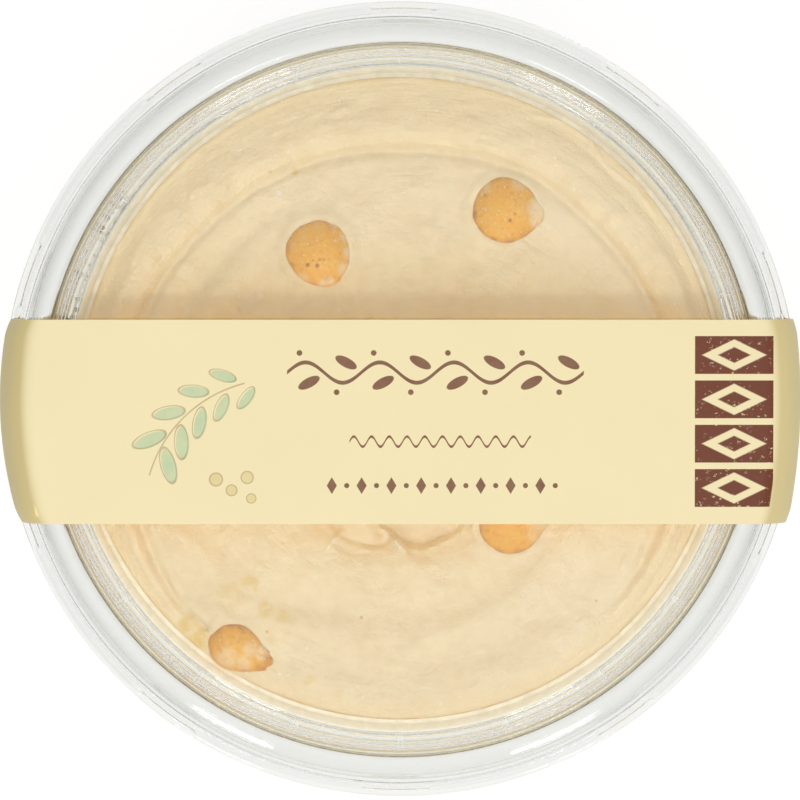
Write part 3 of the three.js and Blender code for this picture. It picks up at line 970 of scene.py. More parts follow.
def to_object(shape: Shape, name: str, *materials: Material) -> bpy.types.Object:
    """Makes a finished shape an object at the origin, smooth shaded.

    Args:
        shape: The shape, which is freed.
        name: Name of the object.
        *materials: Its materials, in the order of its faces' material numbers.

    Returns:
        The object.
    """
    mesh = bpy.data.meshes.new(name)
    shape.to_mesh(mesh)
    shape.free()
    mesh.shade_smooth()
    mesh.set_sharp_from_angle(angle=CRISP)
    for material in materials:
        mesh.materials.append(material)
    made = bpy.data.objects.new(name, mesh)
    bpy.context.scene.collection.objects.link(made)
    return made


def hand_over(piece: bpy.types.Object, slot: Slot, *nodes: str) -> None:
    """Tells the frame what a piece rides on and stands for.

    Args:
        piece: The finished piece.
        slot: The record's material slot; not used.
        *nodes: The nodes that it replaces.
    """
    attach(piece, Body.ROOT.value)
    if nodes:
        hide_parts(*nodes)
    LOG.info("%s: %d faces", piece.name, len(piece.data.polygons))


# ---- Lid ----


@dataclass
class Lid:
    """The clear snap lid: a flat panel in a groove, a stepped plug, a crown and a flange."""

    skin: float = 0.32
    flange_r: float = 59.0
    flange_top: float = 36.5
    flange_soft: float = 0.1
    snap_r: float = 58.36
    snap_lean: float = 0.25
    snap_tall: float = 0.1
    snap_soft: float = 0.07
    pinch_r: float = 57.95
    pinch_count: int = 10
    pinch_turn: float = 17.1
    pinch_half: float = 5.0
    pinch_fade: float = 0.7
    skirt: Corner = Corner(57.8, 37.1, 0.3)
    crown_r: float = 54.1
    crown_z: float = 39.6
    crown_inner: float = 1.65
    crown_outer: float = 2.75
    crown_rise: float = 1.4
    crown_ends: float = 12.0  # where the arch breaks off, so that its ends never stand upright
    crown_steps: int = 18
    plug_r: float = 50.85
    plug_z: float = 36.7
    plug_steps: int = 3
    plug_step: Pair = (0.44, 0.95)
    plug_ledge: float = 0.32
    plug_soft: float = 0.14
    groove_z: float = 35.75
    groove_in: float = 50.2
    groove_out: float = 50.75
    groove_soft: float = 0.25
    panel: Corner = Corner(49.95, 37.4, 0.4)
    lug_count: int = 20
    lug_wide: float = 0.72
    lug_foot: float = 0.35  # share of its width that is left at its inner end
    lug_size: tuple[float, float, float] = (0.9, 0.17, 0.7)
    lug_lift: float = 0.01
    lug_soft: float = 0.04
    drop_count: int = 34
    drop_turns: Pair = (143.0, 168.0)
    drop_reach: Pair = (49.9, 51.0)
    drop_sizes: Pair = (0.12, 0.33)
    drop_flat: float = 0.55
    drop_seed: int = 5
    bend_steps: int = 4
    hold: float = 0.04
    sides: int = 320

    def crown(self) -> list[Corner]:
        """Corners along the low arch of the crown, from its inner to its outer end.

        Returns:
            The corners.
        """
        corners = []
        ends = math.radians(self.crown_ends)
        for index in range(self.crown_steps + 1):
            angle = mix(math.pi - ends, ends, index / self.crown_steps)
            half = self.crown_inner if angle > math.pi / 2 else self.crown_outer
            r = self.crown_r + half * math.cos(angle)
            corners.append(Corner(r, self.crown_z + self.crown_rise * math.sin(angle)))
        return corners

    def upper_line(self) -> list[Corner]:
        """The lid's upper face from its middle out to the flange.

        Returns:
            Its corners.
        """
        plug = []
        for index in range(self.plug_steps):
            r = self.plug_r + self.plug_step[0] * index
            z = self.plug_z + self.plug_step[1] * index
            plug.append(Corner(r, z, self.plug_soft))
            plug.append(Corner(r + self.plug_ledge, z + self.plug_ledge / 2, self.plug_soft))
        return [
            Corner(0.0, self.panel.z),
            self.panel,
            Corner(self.groove_in, self.groove_z, self.groove_soft),
            Corner(self.groove_out, self.groove_z, self.groove_soft),
            *plug,
            *self.crown(),
            self.skirt,
            Corner(self.snap_r, self.flange_top + self.snap_tall, self.snap_soft),
            Corner(self.snap_r + self.snap_lean, self.flange_top, self.snap_soft),
            Corner(self.flange_r, self.flange_top, self.flange_soft),
        ]

    def pinch(self, shape: Shape) -> None:
        """Pinches the foot of the skirt in at even steps, so that the lid grips the rim.

        Args:
            shape: The lid's shape.
        """
        pitch = 360 / self.pinch_count
        reach = 2 * self.skin
        for vert in shape.verts:
            r = math.hypot(vert.co.x, vert.co.y) / MM
            off_foot = vert.co.z / MM - self.flange_top
            if abs(r - self.snap_r) > reach or not -reach < off_foot < 2 * self.snap_tall:
                continue
            turn = math.degrees(math.atan2(vert.co.y, vert.co.x))
            nearest = self.pinch_turn + pitch * round((turn - self.pinch_turn) / pitch)
            off = abs(turn_from(nearest, turn))
            share = 1 - smooth(self.pinch_half - self.pinch_fade, self.pinch_half, off)
            share *= 1 - smooth(0.5 * reach, reach, abs(r - self.snap_r))
            scale = (r - share * (self.snap_r - self.pinch_r)) / r
            vert.co.x *= scale
            vert.co.y *= scale

    def add_rib(self, shape: Shape, turn: float, lean: float) -> None:
        """Adds one arm of a lug: a thin upright rib across the groove.

        Args:
            shape: The shape that gets it.
            turn: The lug's direction in radians.
            lean: How far its outer end leans to the left.
        """
        long, thick, tall = self.lug_size
        made = bmesh.ops.create_cube(shape, size=1.0)["verts"]
        for vert in made:
            side = lean if vert.co.x > 0 else self.lug_foot * lean
            vert.co = Vector((vert.co.x * long, vert.co.y * thick + side, vert.co.z * tall))
        middle = (self.groove_in + self.groove_out) / 2
        lift = Vector((middle, 0, self.groove_z + tall / 2 + self.lug_lift))
        bmesh.ops.translate(shape, vec=lift, verts=made)
        edges = list({edge for vert in made for edge in vert.link_edges})
        rounded = bevel(shape, edges, "EDGES", self.lug_soft, 2)
        size = Matrix.Rotation(turn, 4, "Z") @ Matrix.Scale(MM, 4)
        bmesh.ops.transform(shape, matrix=size, verts=rounded)

    def build_lugs(self, plastic: Material) -> None:
        """Builds the ring of lugs in the groove, each a V that opens outwards.

        Args:
            plastic: Their frosted material.
        """
        shape = bmesh.new()
        for index in range(self.lug_count):
            for lean in (self.lug_wide / 2, -self.lug_wide / 2):
                self.add_rib(shape, TURN * index / self.lug_count, lean)
        hand_over(to_object(shape, "lid_lugs", plastic), Slot.CLEAR)

    def build_droplets(self, water: Material) -> None:
        """Builds the droplets that hang in the groove on one side.

        Args:
            water: Their material.
        """
        draw = random.Random(self.drop_seed)
        shape = bmesh.new()
        for _ in range(self.drop_count):
            turn = math.radians(draw.uniform(*self.drop_turns))
            reach = draw.uniform(*self.drop_reach) * MM
            size = draw.uniform(*self.drop_sizes) * MM
            made = bmesh.ops.create_icosphere(shape, subdivisions=2, radius=size)["verts"]
            bmesh.ops.scale(shape, vec=(1.0, 1.0, self.drop_flat), verts=made)
            place = (reach * math.cos(turn), reach * math.sin(turn), self.groove_z * MM + size / 2)
            bmesh.ops.translate(shape, vec=place, verts=made)
        hand_over(to_object(shape, "droplets", water), Slot.CLEAR)

    def build(self, plastic: Material) -> None:
        """Builds the lid with its lugs and droplets.

        Args:
            plastic: Its clear material.
        """
        upper = self.upper_line()
        line = [*upper, *reversed(set_off(upper, self.skin))]
        shape = wire(line, self.bend_steps, self.hold)
        spin(shape, self.sides)
        self.pinch(shape)
        hand_over(to_object(shape, "clear_lid", plastic), Slot.CLEAR, "lid")
        # the lugs' frosted finish has a faint painted glow at the front
        self.build_lugs(FilmFinish("frosted_edges", (0.93, 0.93, 0.92), 0.6, 0.8, 0.1).make())
        self.build_droplets(plastic)


# ---- Tub ----


@dataclass
class Tub:
    """The clear tub, by the inner face of its wall."""

    wall: float = 0.34
    foot_z: float = 0.87
    foot_in: float = 39.5
    foot_out: float = 42.4
    base_rise: float = 1.2
    base_slope: float = 1.4
    base_soft: float = 0.4
    foot_soft: float = 0.2
    wall_low: Corner = Corner(43.2, 2.1, 0.6)
    wall_high: Corner = Corner(48.8, 34.1, 0.25)
    ledge_in: Corner = Corner(49.4, 34.7, 0.25)
    ledge_out: Corner = Corner(51.3, 34.7, 0.4)
    mouth: Corner = Corner(52.45, 39.25, 0.28)
    mouth_slope: float = 0.2
    rim: Corner = Corner(55.4, 39.85, 0.95)
    lip: Corner = Corner(56.5, 37.4, 0.13)
    bend_steps: int = 4
    hold: float = 0.06
    sides: int = 288

    def base_line(self, sunk: float = 0.0) -> list[Corner]:
        """The inner face of the base, from its middle to the foot of the wall.

        Args:
            sunk: How far the line lies in the wall.

        Returns:
            Its corners.
        """
        floor = self.foot_z + self.wall - sunk
        return [
            Corner(0.0, floor + self.base_rise),
            Corner(self.foot_in - self.base_slope, floor + self.base_rise, self.base_soft),
            Corner(self.foot_in, floor, self.base_soft),
            Corner(self.foot_out, floor, self.foot_soft),
            self.wall_low._replace(r=self.wall_low.r + sunk),
        ]

    def wall_radius(self, z: float) -> float:
        """Inner radius of the sloping wall at a height."""
        slope = (self.wall_high.r - self.wall_low.r) / (self.wall_high.z - self.wall_low.z)
        return self.wall_low.r + slope * (z - self.wall_low.z)

    def build(self, plastic: Material) -> None:
        """Builds the tub.

        Args:
            plastic: Its clear material.
        """
        inner = [
            *self.base_line(),
            self.wall_high,
            self.ledge_in,
            self.ledge_out,
            self.mouth,
            Corner(self.mouth.r + self.mouth_slope, self.rim.z, self.mouth.soft),
            self.rim,
            self.lip,
        ]
        line = [*inner, *reversed(set_off(inner, self.wall))]
        shape = wire(line, self.bend_steps, self.hold)
        spin(shape, self.sides)
        hand_over(to_object(shape, "clear_tub", plastic), Slot.CLEAR, "tub")


# ---- Chickpeas ----


class Fold(NamedTuple):
    """A fold of the skin: beyond a flat cut across the pea, the skin stands out or in.

    The cut's direction is given from the beak, its place and step as shares of the radius.
    """

    turn: float
    up: float
    place: float
    step: float
    soft: float = 0.03

    def rise(self, point: Vector) -> float:
        """How far the skin stands out at a point of the unit sphere."""
        beyond = point.dot(direction(self.turn, self.up))
        return self.step * smooth(self.place - self.soft, self.place + self.soft, beyond)


class Lap(NamedTuple):
    """A lap of paste that leans over a chickpea's rim.

    It stands on an oval round the pea, given as a share of the pea's half sizes, over a range of
    directions from the pea's beak. It falls off inwards and outwards over the given widths.
    """

    start: float
    end: float
    place: float
    rise: float
    inner: float
    outer: float
    fade: float


@dataclass
class Chickpea:
    """One chickpea, sunk into the dip."""

    name: str
    x: float
    y: float
    top: float
    half: tuple[float, float, float]
    beak_turn: float
    tip: float
    collar: float
    beak: float
    beak_wide: float = 0.3
    folds: Sequence[Fold] = ()
    lap: Lap | None = None
    wrinkles: float = 0.02
    wrinkle_fine: float = 7.0
    wrinkle_reach: float = 0.8  # radians from the beak
    creases: float = 0.022
    crease_fine: float = 2.3
    seam_deep: float = 0.03
    seam_wide: float = 0.22
    seam_ends: Pair = (-0.6, 0.2)  # places along the beak between which the seam runs out
    fineness: int = 6

    def radius(self, point: Vector) -> float:
        """Radius of the pea in the direction of a point of the unit sphere.

        Args:
            point: The direction, with the beak along +X.

        Returns:
            The radius as a share of the half sizes.
        """
        from_beak = math.acos(min(1.0, max(-1.0, point.x)))
        behind = 1 - smooth(*self.seam_ends, point.x)
        seam = self.seam_deep * behind * bell(point.y, self.seam_wide)
        lot = Vector((self.x, self.y, 0))
        crease = self.creases * noise.noise(point * self.crease_fine + lot)
        wrinkle = self.wrinkles * bell(from_beak, self.wrinkle_reach)
        wrinkle *= noise.noise(point * self.wrinkle_fine + lot)
        folds = sum(fold.rise(point) for fold in self.folds)
        beak = self.beak * bell(from_beak, self.beak_wide)
        return 1 + beak - seam + crease + wrinkle + folds

    def lapped(self, x: float, y: float) -> float:
        """How far the lap lifts the paste at a point.

        Args:
            x: The point's place to the right.
            y: Its place to the back.

        Returns:
            The rise of the paste.
        """
        if self.lap is None:
            return 0.0
        along, across = swung(x - self.x, y - self.y, self.beak_turn)
        along, across = along / self.half[0], across / self.half[1]
        half = (self.lap.end - self.lap.start) / 2
        off = turn_from(self.lap.start + half, math.degrees(math.atan2(across, along)))
        fade = 1 - smooth(half - self.lap.fade, half, abs(off))
        outside = (math.hypot(along, across) - self.lap.place) * self.half[1]
        width = self.lap.outer if outside > 0 else self.lap.inner
        return fade * self.lap.rise * bell(outside, width)

    def build(self, skin: Material) -> None:
        """Builds the chickpea.

        Args:
            skin: Its material.
        """
        shape = bmesh.new()
        bmesh.ops.create_icosphere(shape, subdivisions=self.fineness, radius=1.0)
        for vert in shape.verts:
            point = vert.co.copy()
            share = self.radius(point)
            vert.co = Vector([part * half * share * MM for part, half in zip(point, self.half)])
        turn = Matrix.Rotation(math.radians(self.beak_turn), 4, "Z")
        tilt = Matrix.Rotation(-math.radians(self.tip), 4, "Y")
        centre = Vector((self.x, self.y, self.top - self.half[2])) * MM
        stand = Matrix.Translation(centre) @ turn @ tilt
        bmesh.ops.transform(shape, matrix=stand, verts=shape.verts)
        hand_over(to_object(shape, f"{self.name}_whole", skin), Slot.CHICKPEA, self.name)


# ---- Hummus ----


class Stroke(NamedTuple):
    """One stroke of the spoon: an arc round the swirl's middle, which may drift in or out.

    It is a crease of a depth and a width, and the dip swells by a lift just outside it.
    """

    start: float
    end: float
    r_start: float
    r_end: float
    depth: float
    lift: float
    width: float


class Hollow(NamedTuple):
    """One hollow of the curl in the middle."""

    x: float
    y: float
    r: float
    valley: float
    fall: float


class Ridge(NamedTuple):
    """A small ridge of paste from one point to another, lower towards its end."""

    start: Pair
    end: Pair
    rise: float
    wide: float
    low: float = 0.4  # share of its rise that is left at its end
    narrow: float = 0.7  # share of its width that is left there
    overrun: float = 0.4  # how far past its ends it still shows, as a share of its length

    def height(self, x: float, y: float) -> float:
        """How far it stands up at a point.

        Args:
            x: The point's place to the right.
            y: Its place to the back.

        Returns:
            The rise of the paste.
        """
        run = Vector(self.end) - Vector(self.start)
        off = Vector((x, y)) - Vector(self.start)
        share = off.dot(run) / run.length_squared
        if not -self.overrun < share < 1 + self.overrun:
            return 0.0
        along = clamp(share)
        away = (off - run * along).length
        wide = self.wide * mix(1.0, self.narrow, along)
        return self.rise * mix(1.0, self.low, along) * bell(away, wide)


@dataclass
class Hummus:
    """The dip, swirled by a spoon."""

    tub: Tub
    peas: Sequence[Chickpea]
    level: float = 33.7
    edge_level: float = 33.15
    edge_ease: Pair = (44.5, 47.6)
    shoulder: Pair = (47.2, 48.45)  # radii over which it drops at the wall
    shoulder_drop: float = 0.25
    swirl: Swirl = Swirl()
    mound: Pair = (0.5, 20.0)
    strokes: Sequence[Stroke] = (
        Stroke(-48, 246, 41.3, 41.5, 0.55, 0.6, 0.85),
        Stroke(186, 246, 44.6, 45.4, 0.35, 0.2, 1.1),
        Stroke(296, 356, 45.2, 44.8, 0.4, 0.2, 1.2),
        Stroke(112, 178, 37.0, 35.6, 0.2, 0.2, 1.4),
        Stroke(118, 176, 31.0, 28.6, 0.28, 0.28, 1.5),
        Stroke(182, 262, 34.2, 29.6, 0.24, 0.26, 2.1),
        Stroke(222, 344, 29.4, 26.4, 0.22, 0.3, 2.0),
        Stroke(262, 350, 36.4, 35.0, 0.16, 0.16, 2.2),
        Stroke(-4, 62, 32.8, 36.2, 0.2, 0.2, 1.6),
        Stroke(4, 80, 47.2, 50.2, 0.25, 0.15, 0.8),
    )
    stroke_gain: float = 1.45  # how much deeper the strokes stand than given
    stroke_fade: float = 22.0
    lift_reach: float = 3.6
    lift_wide: float = 2.7
    wander: Sequence[tuple[float, float, float]] = ((62, 0.8, 10), (90, -0.55, 14), (222, 0.8, 16))
    wave_out: float = 0.15
    wave_count: int = 5
    hollows: tuple[Hollow, Hollow] = (
        Hollow(3.3, -15.2, 7.1, 0.8, 2.5),
        Hollow(-4.6, -15.3, 7.2, 0.5, 1.1),
    )
    hollow_stray: float = 0.5  # how far a hollow's edge strays from a true circle
    hollow_grain: float = 2.6
    hollow_front: Pair = (-0.15, 0.45)  # how far round it the front side sets in
    hollow_right: Pair = (1.5, 6.0)  # places over which it runs out to the right
    hollow_left: float = 0.4  # share that is left there
    hollow_fall: Pair = (-0.15, 0.6)  # distances inside its edge over which it falls
    hollow_rise: Pair = (0.8, 6.5)  # and over which it rises again
    hollow_valley: Pair = (-0.3, 1.2)  # where its valley lies there, and how wide it is
    hollow_over: float = 0.4  # how softly the first lies over the second
    ridges: Sequence[Ridge] = (
        Ridge((-0.7, -21.0), (1.2, -23.6), 1.1, 0.7, 0.3),
        Ridge((-8.7, -19.8), (-10.9, -22.3), 0.75, 0.5, 0.3),
        Ridge((19.6, 42.2), (23.9, 41.4), 0.3, 0.35),
        Ridge((23.9, 41.4), (28.0, 38.6), 0.25, 0.4, 0.8),
        Ridge((28.2, 38.2), (30.4, 34.9), 0.35, 0.45, 0.7),
        Ridge((31.0, 34.4), (35.2, 31.2), 0.22, 0.35, 0.8),
        Ridge((35.4, 30.9), (38.0, 27.4), 0.3, 0.4, 0.6),
        Ridge((-30.6, 31.0), (-27.6, 32.4), 0.3, 0.6),
        Ridge((-12.0, 42.6), (-15.4, 41.2), 0.3, 0.5),
        Ridge((-8.0, 43.4), (-10.8, 42.2), 0.25, 0.5),
        Ridge((-28.9, -34.2), (-31.6, -31.6), -0.9, 0.5, 0.5),
    )
    collar_tuck: float = 0.35
    collar_wide: float = 1.0
    collar_reach: float = 3.0  # how far it is felt, as a share of the pea's length
    lump: Pair = (4.2, 0.32)  # size and depth of its broad unevenness
    rough: Pair = (1.9, 0.22)  # and of its finer one, which is halved within the swirl
    into_wall: float = 0.12  # how far it reaches into the tub's wall
    bend_steps: int = 4
    hold: float = 0.06
    film_start: float = 47.9
    film_r: float = 50.4
    film_thick: float = 0.05
    film_above: float = 0.1  # how far above the dip's edge it starts
    film_soft: float = 0.1
    film_bend_steps: int = 3
    film_hold: float = 0.04
    film_sides: int = 256
    painted_edge_z: Pair = (38.3, 39.1)  # heights of the pale sheet near the tub's mouth, whose colour paints the light seen along the wall's edge
    bands: Sequence[tuple[float, int]] = ((46.6, 11), (36.0, 46), (10.0, 70), (0.0, 22))
    sides: int = 512

    def stroke_relief(self, stroke: Stroke, distance: float, turn: float) -> float:
        """Rise or fall that one stroke leaves at a point.

        Args:
            stroke: The stroke.
            distance: How far the point is from the swirl's middle.
            turn: Its direction from there.

        Returns:
            The rise.
        """
        half = (stroke.end - stroke.start) / 2
        along = turn_from(stroke.start + half, turn)
        fade = 1 - smooth(half - self.stroke_fade, half, abs(along))
        if fade == 0:
            return 0.0
        off = distance - mix(stroke.r_start, stroke.r_end, clamp((along + half) / (2 * half)))
        crease = -stroke.depth * bell(off, stroke.width)
        swell = stroke.lift * bell(off - self.lift_reach, self.lift_wide)
        return fade * self.stroke_gain * (crease + swell)

    def wander_out(self, turn: float) -> float:
        """How far the strokes stand further out than a true circle in one direction."""
        bends = sum(out * bell(turn_from(at, turn), half) for at, out, half in self.wander)
        return bends + self.wave_out * math.sin(math.radians(turn) * self.wave_count)

    def hollow_relief(self, hollow: Hollow, x: float, y: float) -> float:
        """One hollow: a soft valley, a sharp drop on its front side and a rise again inwards.

        Args:
            hollow: The hollow.
            x: A point's place to the right.
            y: Its place to the back.

        Returns:
            The rise, which is negative in the hollow.
        """
        distance = math.hypot(x - hollow.x, y - hollow.y)
        lot = Vector((x / self.hollow_grain, y / self.hollow_grain, hollow.x))
        inside = hollow.r + self.hollow_stray * noise.noise(lot) - distance
        front = smooth(*self.hollow_front, (hollow.y - y) / max(distance, 1.0))
        front *= mix(1.0, self.hollow_left, smooth(*self.hollow_right, x - hollow.x))
        drop = smooth(*self.hollow_fall, inside) * (1 - smooth(*self.hollow_rise, inside))
        valley = bell(inside - self.hollow_valley[0], self.hollow_valley[1])
        return front * (-hollow.valley * valley - hollow.fall * drop)

    def curl_relief(self, x: float, y: float) -> float:
        """The curl at a point: the first hollow lies over the second.

        Args:
            x: The point's place to the right.
            y: Its place to the back.

        Returns:
            The rise.
        """
        over, under = self.hollows
        outside = math.hypot(x - over.x, y - over.y) - over.r
        clear = smooth(-self.hollow_over, self.hollow_over, outside)
        return self.hollow_relief(over, x, y) + self.hollow_relief(under, x, y) * clear

    def collar_relief(self, x: float, y: float) -> float:
        """The soft bank that each chickpea pushes up round itself, at a point.

        Args:
            x: The point's place to the right.
            y: Its place to the back.

        Returns:
            The rise.
        """
        total = 0.0
        for pea in self.peas:
            away = math.hypot(x - pea.x, y - pea.y)
            if away > self.collar_reach * pea.half[0]:
                continue
            outside = away - pea.half[1] + self.collar_tuck
            total += pea.collar * bell(outside, self.collar_wide) + pea.lapped(x, y)
        return total

    def unevenness(self, x: float, y: float, distance: float) -> float:
        """The small lumps that the spoon leaves, rougher outside the swirl.

        Args:
            x: A point's place to the right.
            y: Its place to the back.
            distance: How far it is from the swirl's middle.

        Returns:
            The rise.
        """
        place = Vector((x, y, 0.0))
        broad = self.lump[1] * noise.noise(place / self.lump[0])
        outside = 0.5 + 0.5 * smooth(self.swirl.r - 1, self.swirl.r + 1, distance)
        return broad + outside * self.rough[1] * noise.noise(place / self.rough[0])

    def height(self, x: float, y: float) -> float:
        """Height of the surface at a point.

        Args:
            x: The point's place to the right.
            y: Its place to the back.

        Returns:
            The height.
        """
        side, ahead = x - self.swirl.x, y - self.swirl.y
        distance = math.hypot(side, ahead)
        turn = math.degrees(math.atan2(ahead, side))
        steady = distance - self.wander_out(turn) * distance / self.swirl.r
        strokes = sum(self.stroke_relief(stroke, steady, turn) for stroke in self.strokes)
        rise = self.mound[0] * bell(distance, self.mound[1])
        inside = self.level + rise + strokes + self.unevenness(x, y, distance)
        inside += self.curl_relief(x, y)
        from_axis = math.hypot(x, y)
        eased = mix(inside, self.edge_level, smooth(*self.edge_ease, from_axis))
        eased += self.collar_relief(x, y) + sum(ridge.height(x, y) for ridge in self.ridges)
        return eased - self.shoulder_drop * smooth(*self.shoulder, from_axis)

    def build_film(self, name: str, line: Sequence[Corner], film: Material) -> None:
        """Builds a thin sheet that clings to the tub, for the film of paste and for the painted
        light at the mouth.

        Args:
            name: Its name.
            line: The stretch of the tub's inner face that it covers.
            film: Its material.
        """
        inside = set_off(line, -self.film_thick)
        outside = set_off(line, self.into_wall)
        line = [*inside, *reversed(outside), inside[0]]
        shape = wire(line, self.film_bend_steps, self.film_hold)
        spin(shape, self.film_sides)
        hand_over(to_object(shape, name, film), Slot.HUMMUS)

    def build_films(self) -> None:
        """Builds the film on the wall and ledge just above the dip, and the pale sheet of painted
        light at the mouth.
        """
        tub = self.tub
        low = self.edge_level + self.film_above
        ledge = [
            Corner(self.film_start, low),
            Corner(tub.wall_radius(low) - self.film_soft, low, self.film_soft),
            tub.wall_high,
            tub.ledge_in,
            Corner(self.film_r, tub.ledge_in.z),
        ]
        self.build_film("hummus_film", ledge, FilmFinish().make())
        # painted light: a pale sheet at the mouth that lightens the dark line along the wall's
        # edge, with a faint painted glow at the front
        slope = (tub.mouth.r - tub.ledge_out.r) / (tub.mouth.z - tub.ledge_out.z)
        mouth = [Corner(tub.mouth.r - slope * (tub.mouth.z - z), z) for z in self.painted_edge_z]
        painted_edge = FilmFinish("wall_painted_edge_light", (0.88, 0.79, 0.58), 0.5, 0.75, 0.1).make()
        self.build_film("hummus_painted_edge_light", mouth, painted_edge)

    def build(self, paste: Material) -> None:
        """Builds the dip as one closed solid that reaches just into the tub's wall.

        Args:
            paste: Its material.
        """
        edge_z = self.edge_level - self.shoulder_drop
        edge = self.tub.wall_radius(edge_z) + self.into_wall
        line = [*self.tub.base_line(self.into_wall), Corner(edge, edge_z)]
        shape = wire(line, self.bend_steps, self.hold)
        last = max(shape.verts, key=lambda vert: vert.co.z)
        start = edge
        for end, steps in self.bands:
            for step in range(1, steps + 1):
                following = shape.verts.new((mix(start, end, step / steps) * MM, 0.0, edge_z * MM))
                shape.edges.new((last, following))
                last = following
            start = end
        spin(shape, self.sides)
        for vert in shape.verts:
            if vert.co.z > (edge_z - 0.01) * MM:
                vert.co.z = self.height(vert.co.x / MM, vert.co.y / MM) * MM
        hand_over(to_object(shape, "hummus_dip", paste), Slot.HUMMUS, "hummus")


# ---- Sleeve ----


@dataclass
class Sleeve:
    """The card sleeve: one strip wrapped round the pack, its ends lapped under the tub."""

    thick: float = 0.35
    front: float = -18.2
    back: float = 12.0
    foot: Corner = Corner(44.9, 0.0, 1.1)
    nose: Corner = Corner(59.66, 36.3, 0.95)
    knee: Corner = Corner(58.0, 39.8, 1.1)
    shoulder: Corner = Corner(55.3, 41.5, 1.3)
    lap_out: float = 14.0  # where the outer end lies
    lap_in: float = -10.0  # where the inner end lies
    lap_ramp: Pair = (36.0, 24.0)
    lap_gap: float = 0.01
    lap_soft: float = 1.0
    bow_left: float = 0.0085
    bow_right: float = 0.0055
    corner_left: float = 0.9  # how far the sides' ends bend in further, by the cut edges
    corner_right: float = 0.7
    corner_long: float = 2.6
    bend_steps: int = 6
    hold: float = 0.4
    rows: int = 60

    def outline(self) -> list[Corner]:
        """The outer face as a line from the lap's outer end round to its inner end.

        Returns:
            Its corners.
        """
        lift = self.thick + self.lap_gap
        side = [self.foot, self.nose, self.knee, self.shoulder]
        return [
            Corner(self.lap_out, 0.0),
            *(corner._replace(r=-corner.r) for corner in side),
            *reversed(side),
            Corner(self.lap_ramp[0], 0.0, self.lap_soft),
            Corner(self.lap_ramp[1], lift, self.lap_soft),
            Corner(self.lap_in, lift),
        ]

    def bow(self, x: float, y: float, z: float) -> float:
        """Where a point lies across the pack once the sides are bowed round the rim.

        Args:
            x: Its place on the straight sleeve.
            y: Its place along the sleeve's width.
            z: Its height.

        Returns:
            Its new x.
        """
        right = x > 0
        share = self.bow_right if right else self.bow_left
        corner = self.corner_right if right else self.corner_left
        from_cut = min(y - self.front, self.back - y)
        corner *= smooth(self.corner_long, -self.corner_long, from_cut)
        side = smooth(self.foot.r, self.shoulder.r, abs(x)) * smooth(0.0, self.nose.z, z)
        return x * (1 - (share * y**2 + corner * side) / self.nose.r)

    def build(self, outside: Material, inside: Material) -> None:
        """Builds the sleeve.

        Args:
            outside: Material of the printed face.
            inside: Material of the plain face and the cut edges.
        """
        shape = wire(self.outline(), self.bend_steps, self.hold)
        bmesh.ops.translate(shape, vec=(0, self.front * MM, 0), verts=shape.verts)
        step = (self.back - self.front) / self.rows * MM
        edges = shape.edges[:]
        for _ in range(self.rows):
            made = bmesh.ops.extrude_edge_only(shape, edges=edges)["geom"]
            row = {part for part in made if isinstance(part, Vert)}
            bmesh.ops.translate(shape, vec=(0, step, 0), verts=list(row))
            edges = [part for part in made if isinstance(part, Edge) and row.issuperset(part.verts)]
        bmesh.ops.recalc_face_normals(shape, faces=shape.faces)
        outer = set(shape.faces)
        bmesh.ops.solidify(shape, geom=shape.faces[:], thickness=self.thick * MM)
        for face in shape.faces:
            face.material_index = 0 if face in outer else 1
        for vert in shape.verts:
            vert.co.x = self.bow(*(part / MM for part in vert.co)) * MM
        hand_over(to_object(shape, "card_sleeve", outside, inside), Slot.CARD, "sleeve")


# ---- Studio ----


class Panel(NamedTuple):
    """A soft light: its direction and height, and its distance and size in metres."""

    name: str
    turn: float
    up: float
    distance: float
    wide: float
    tall: float
    watts: float
    tint: Colour = WHITE


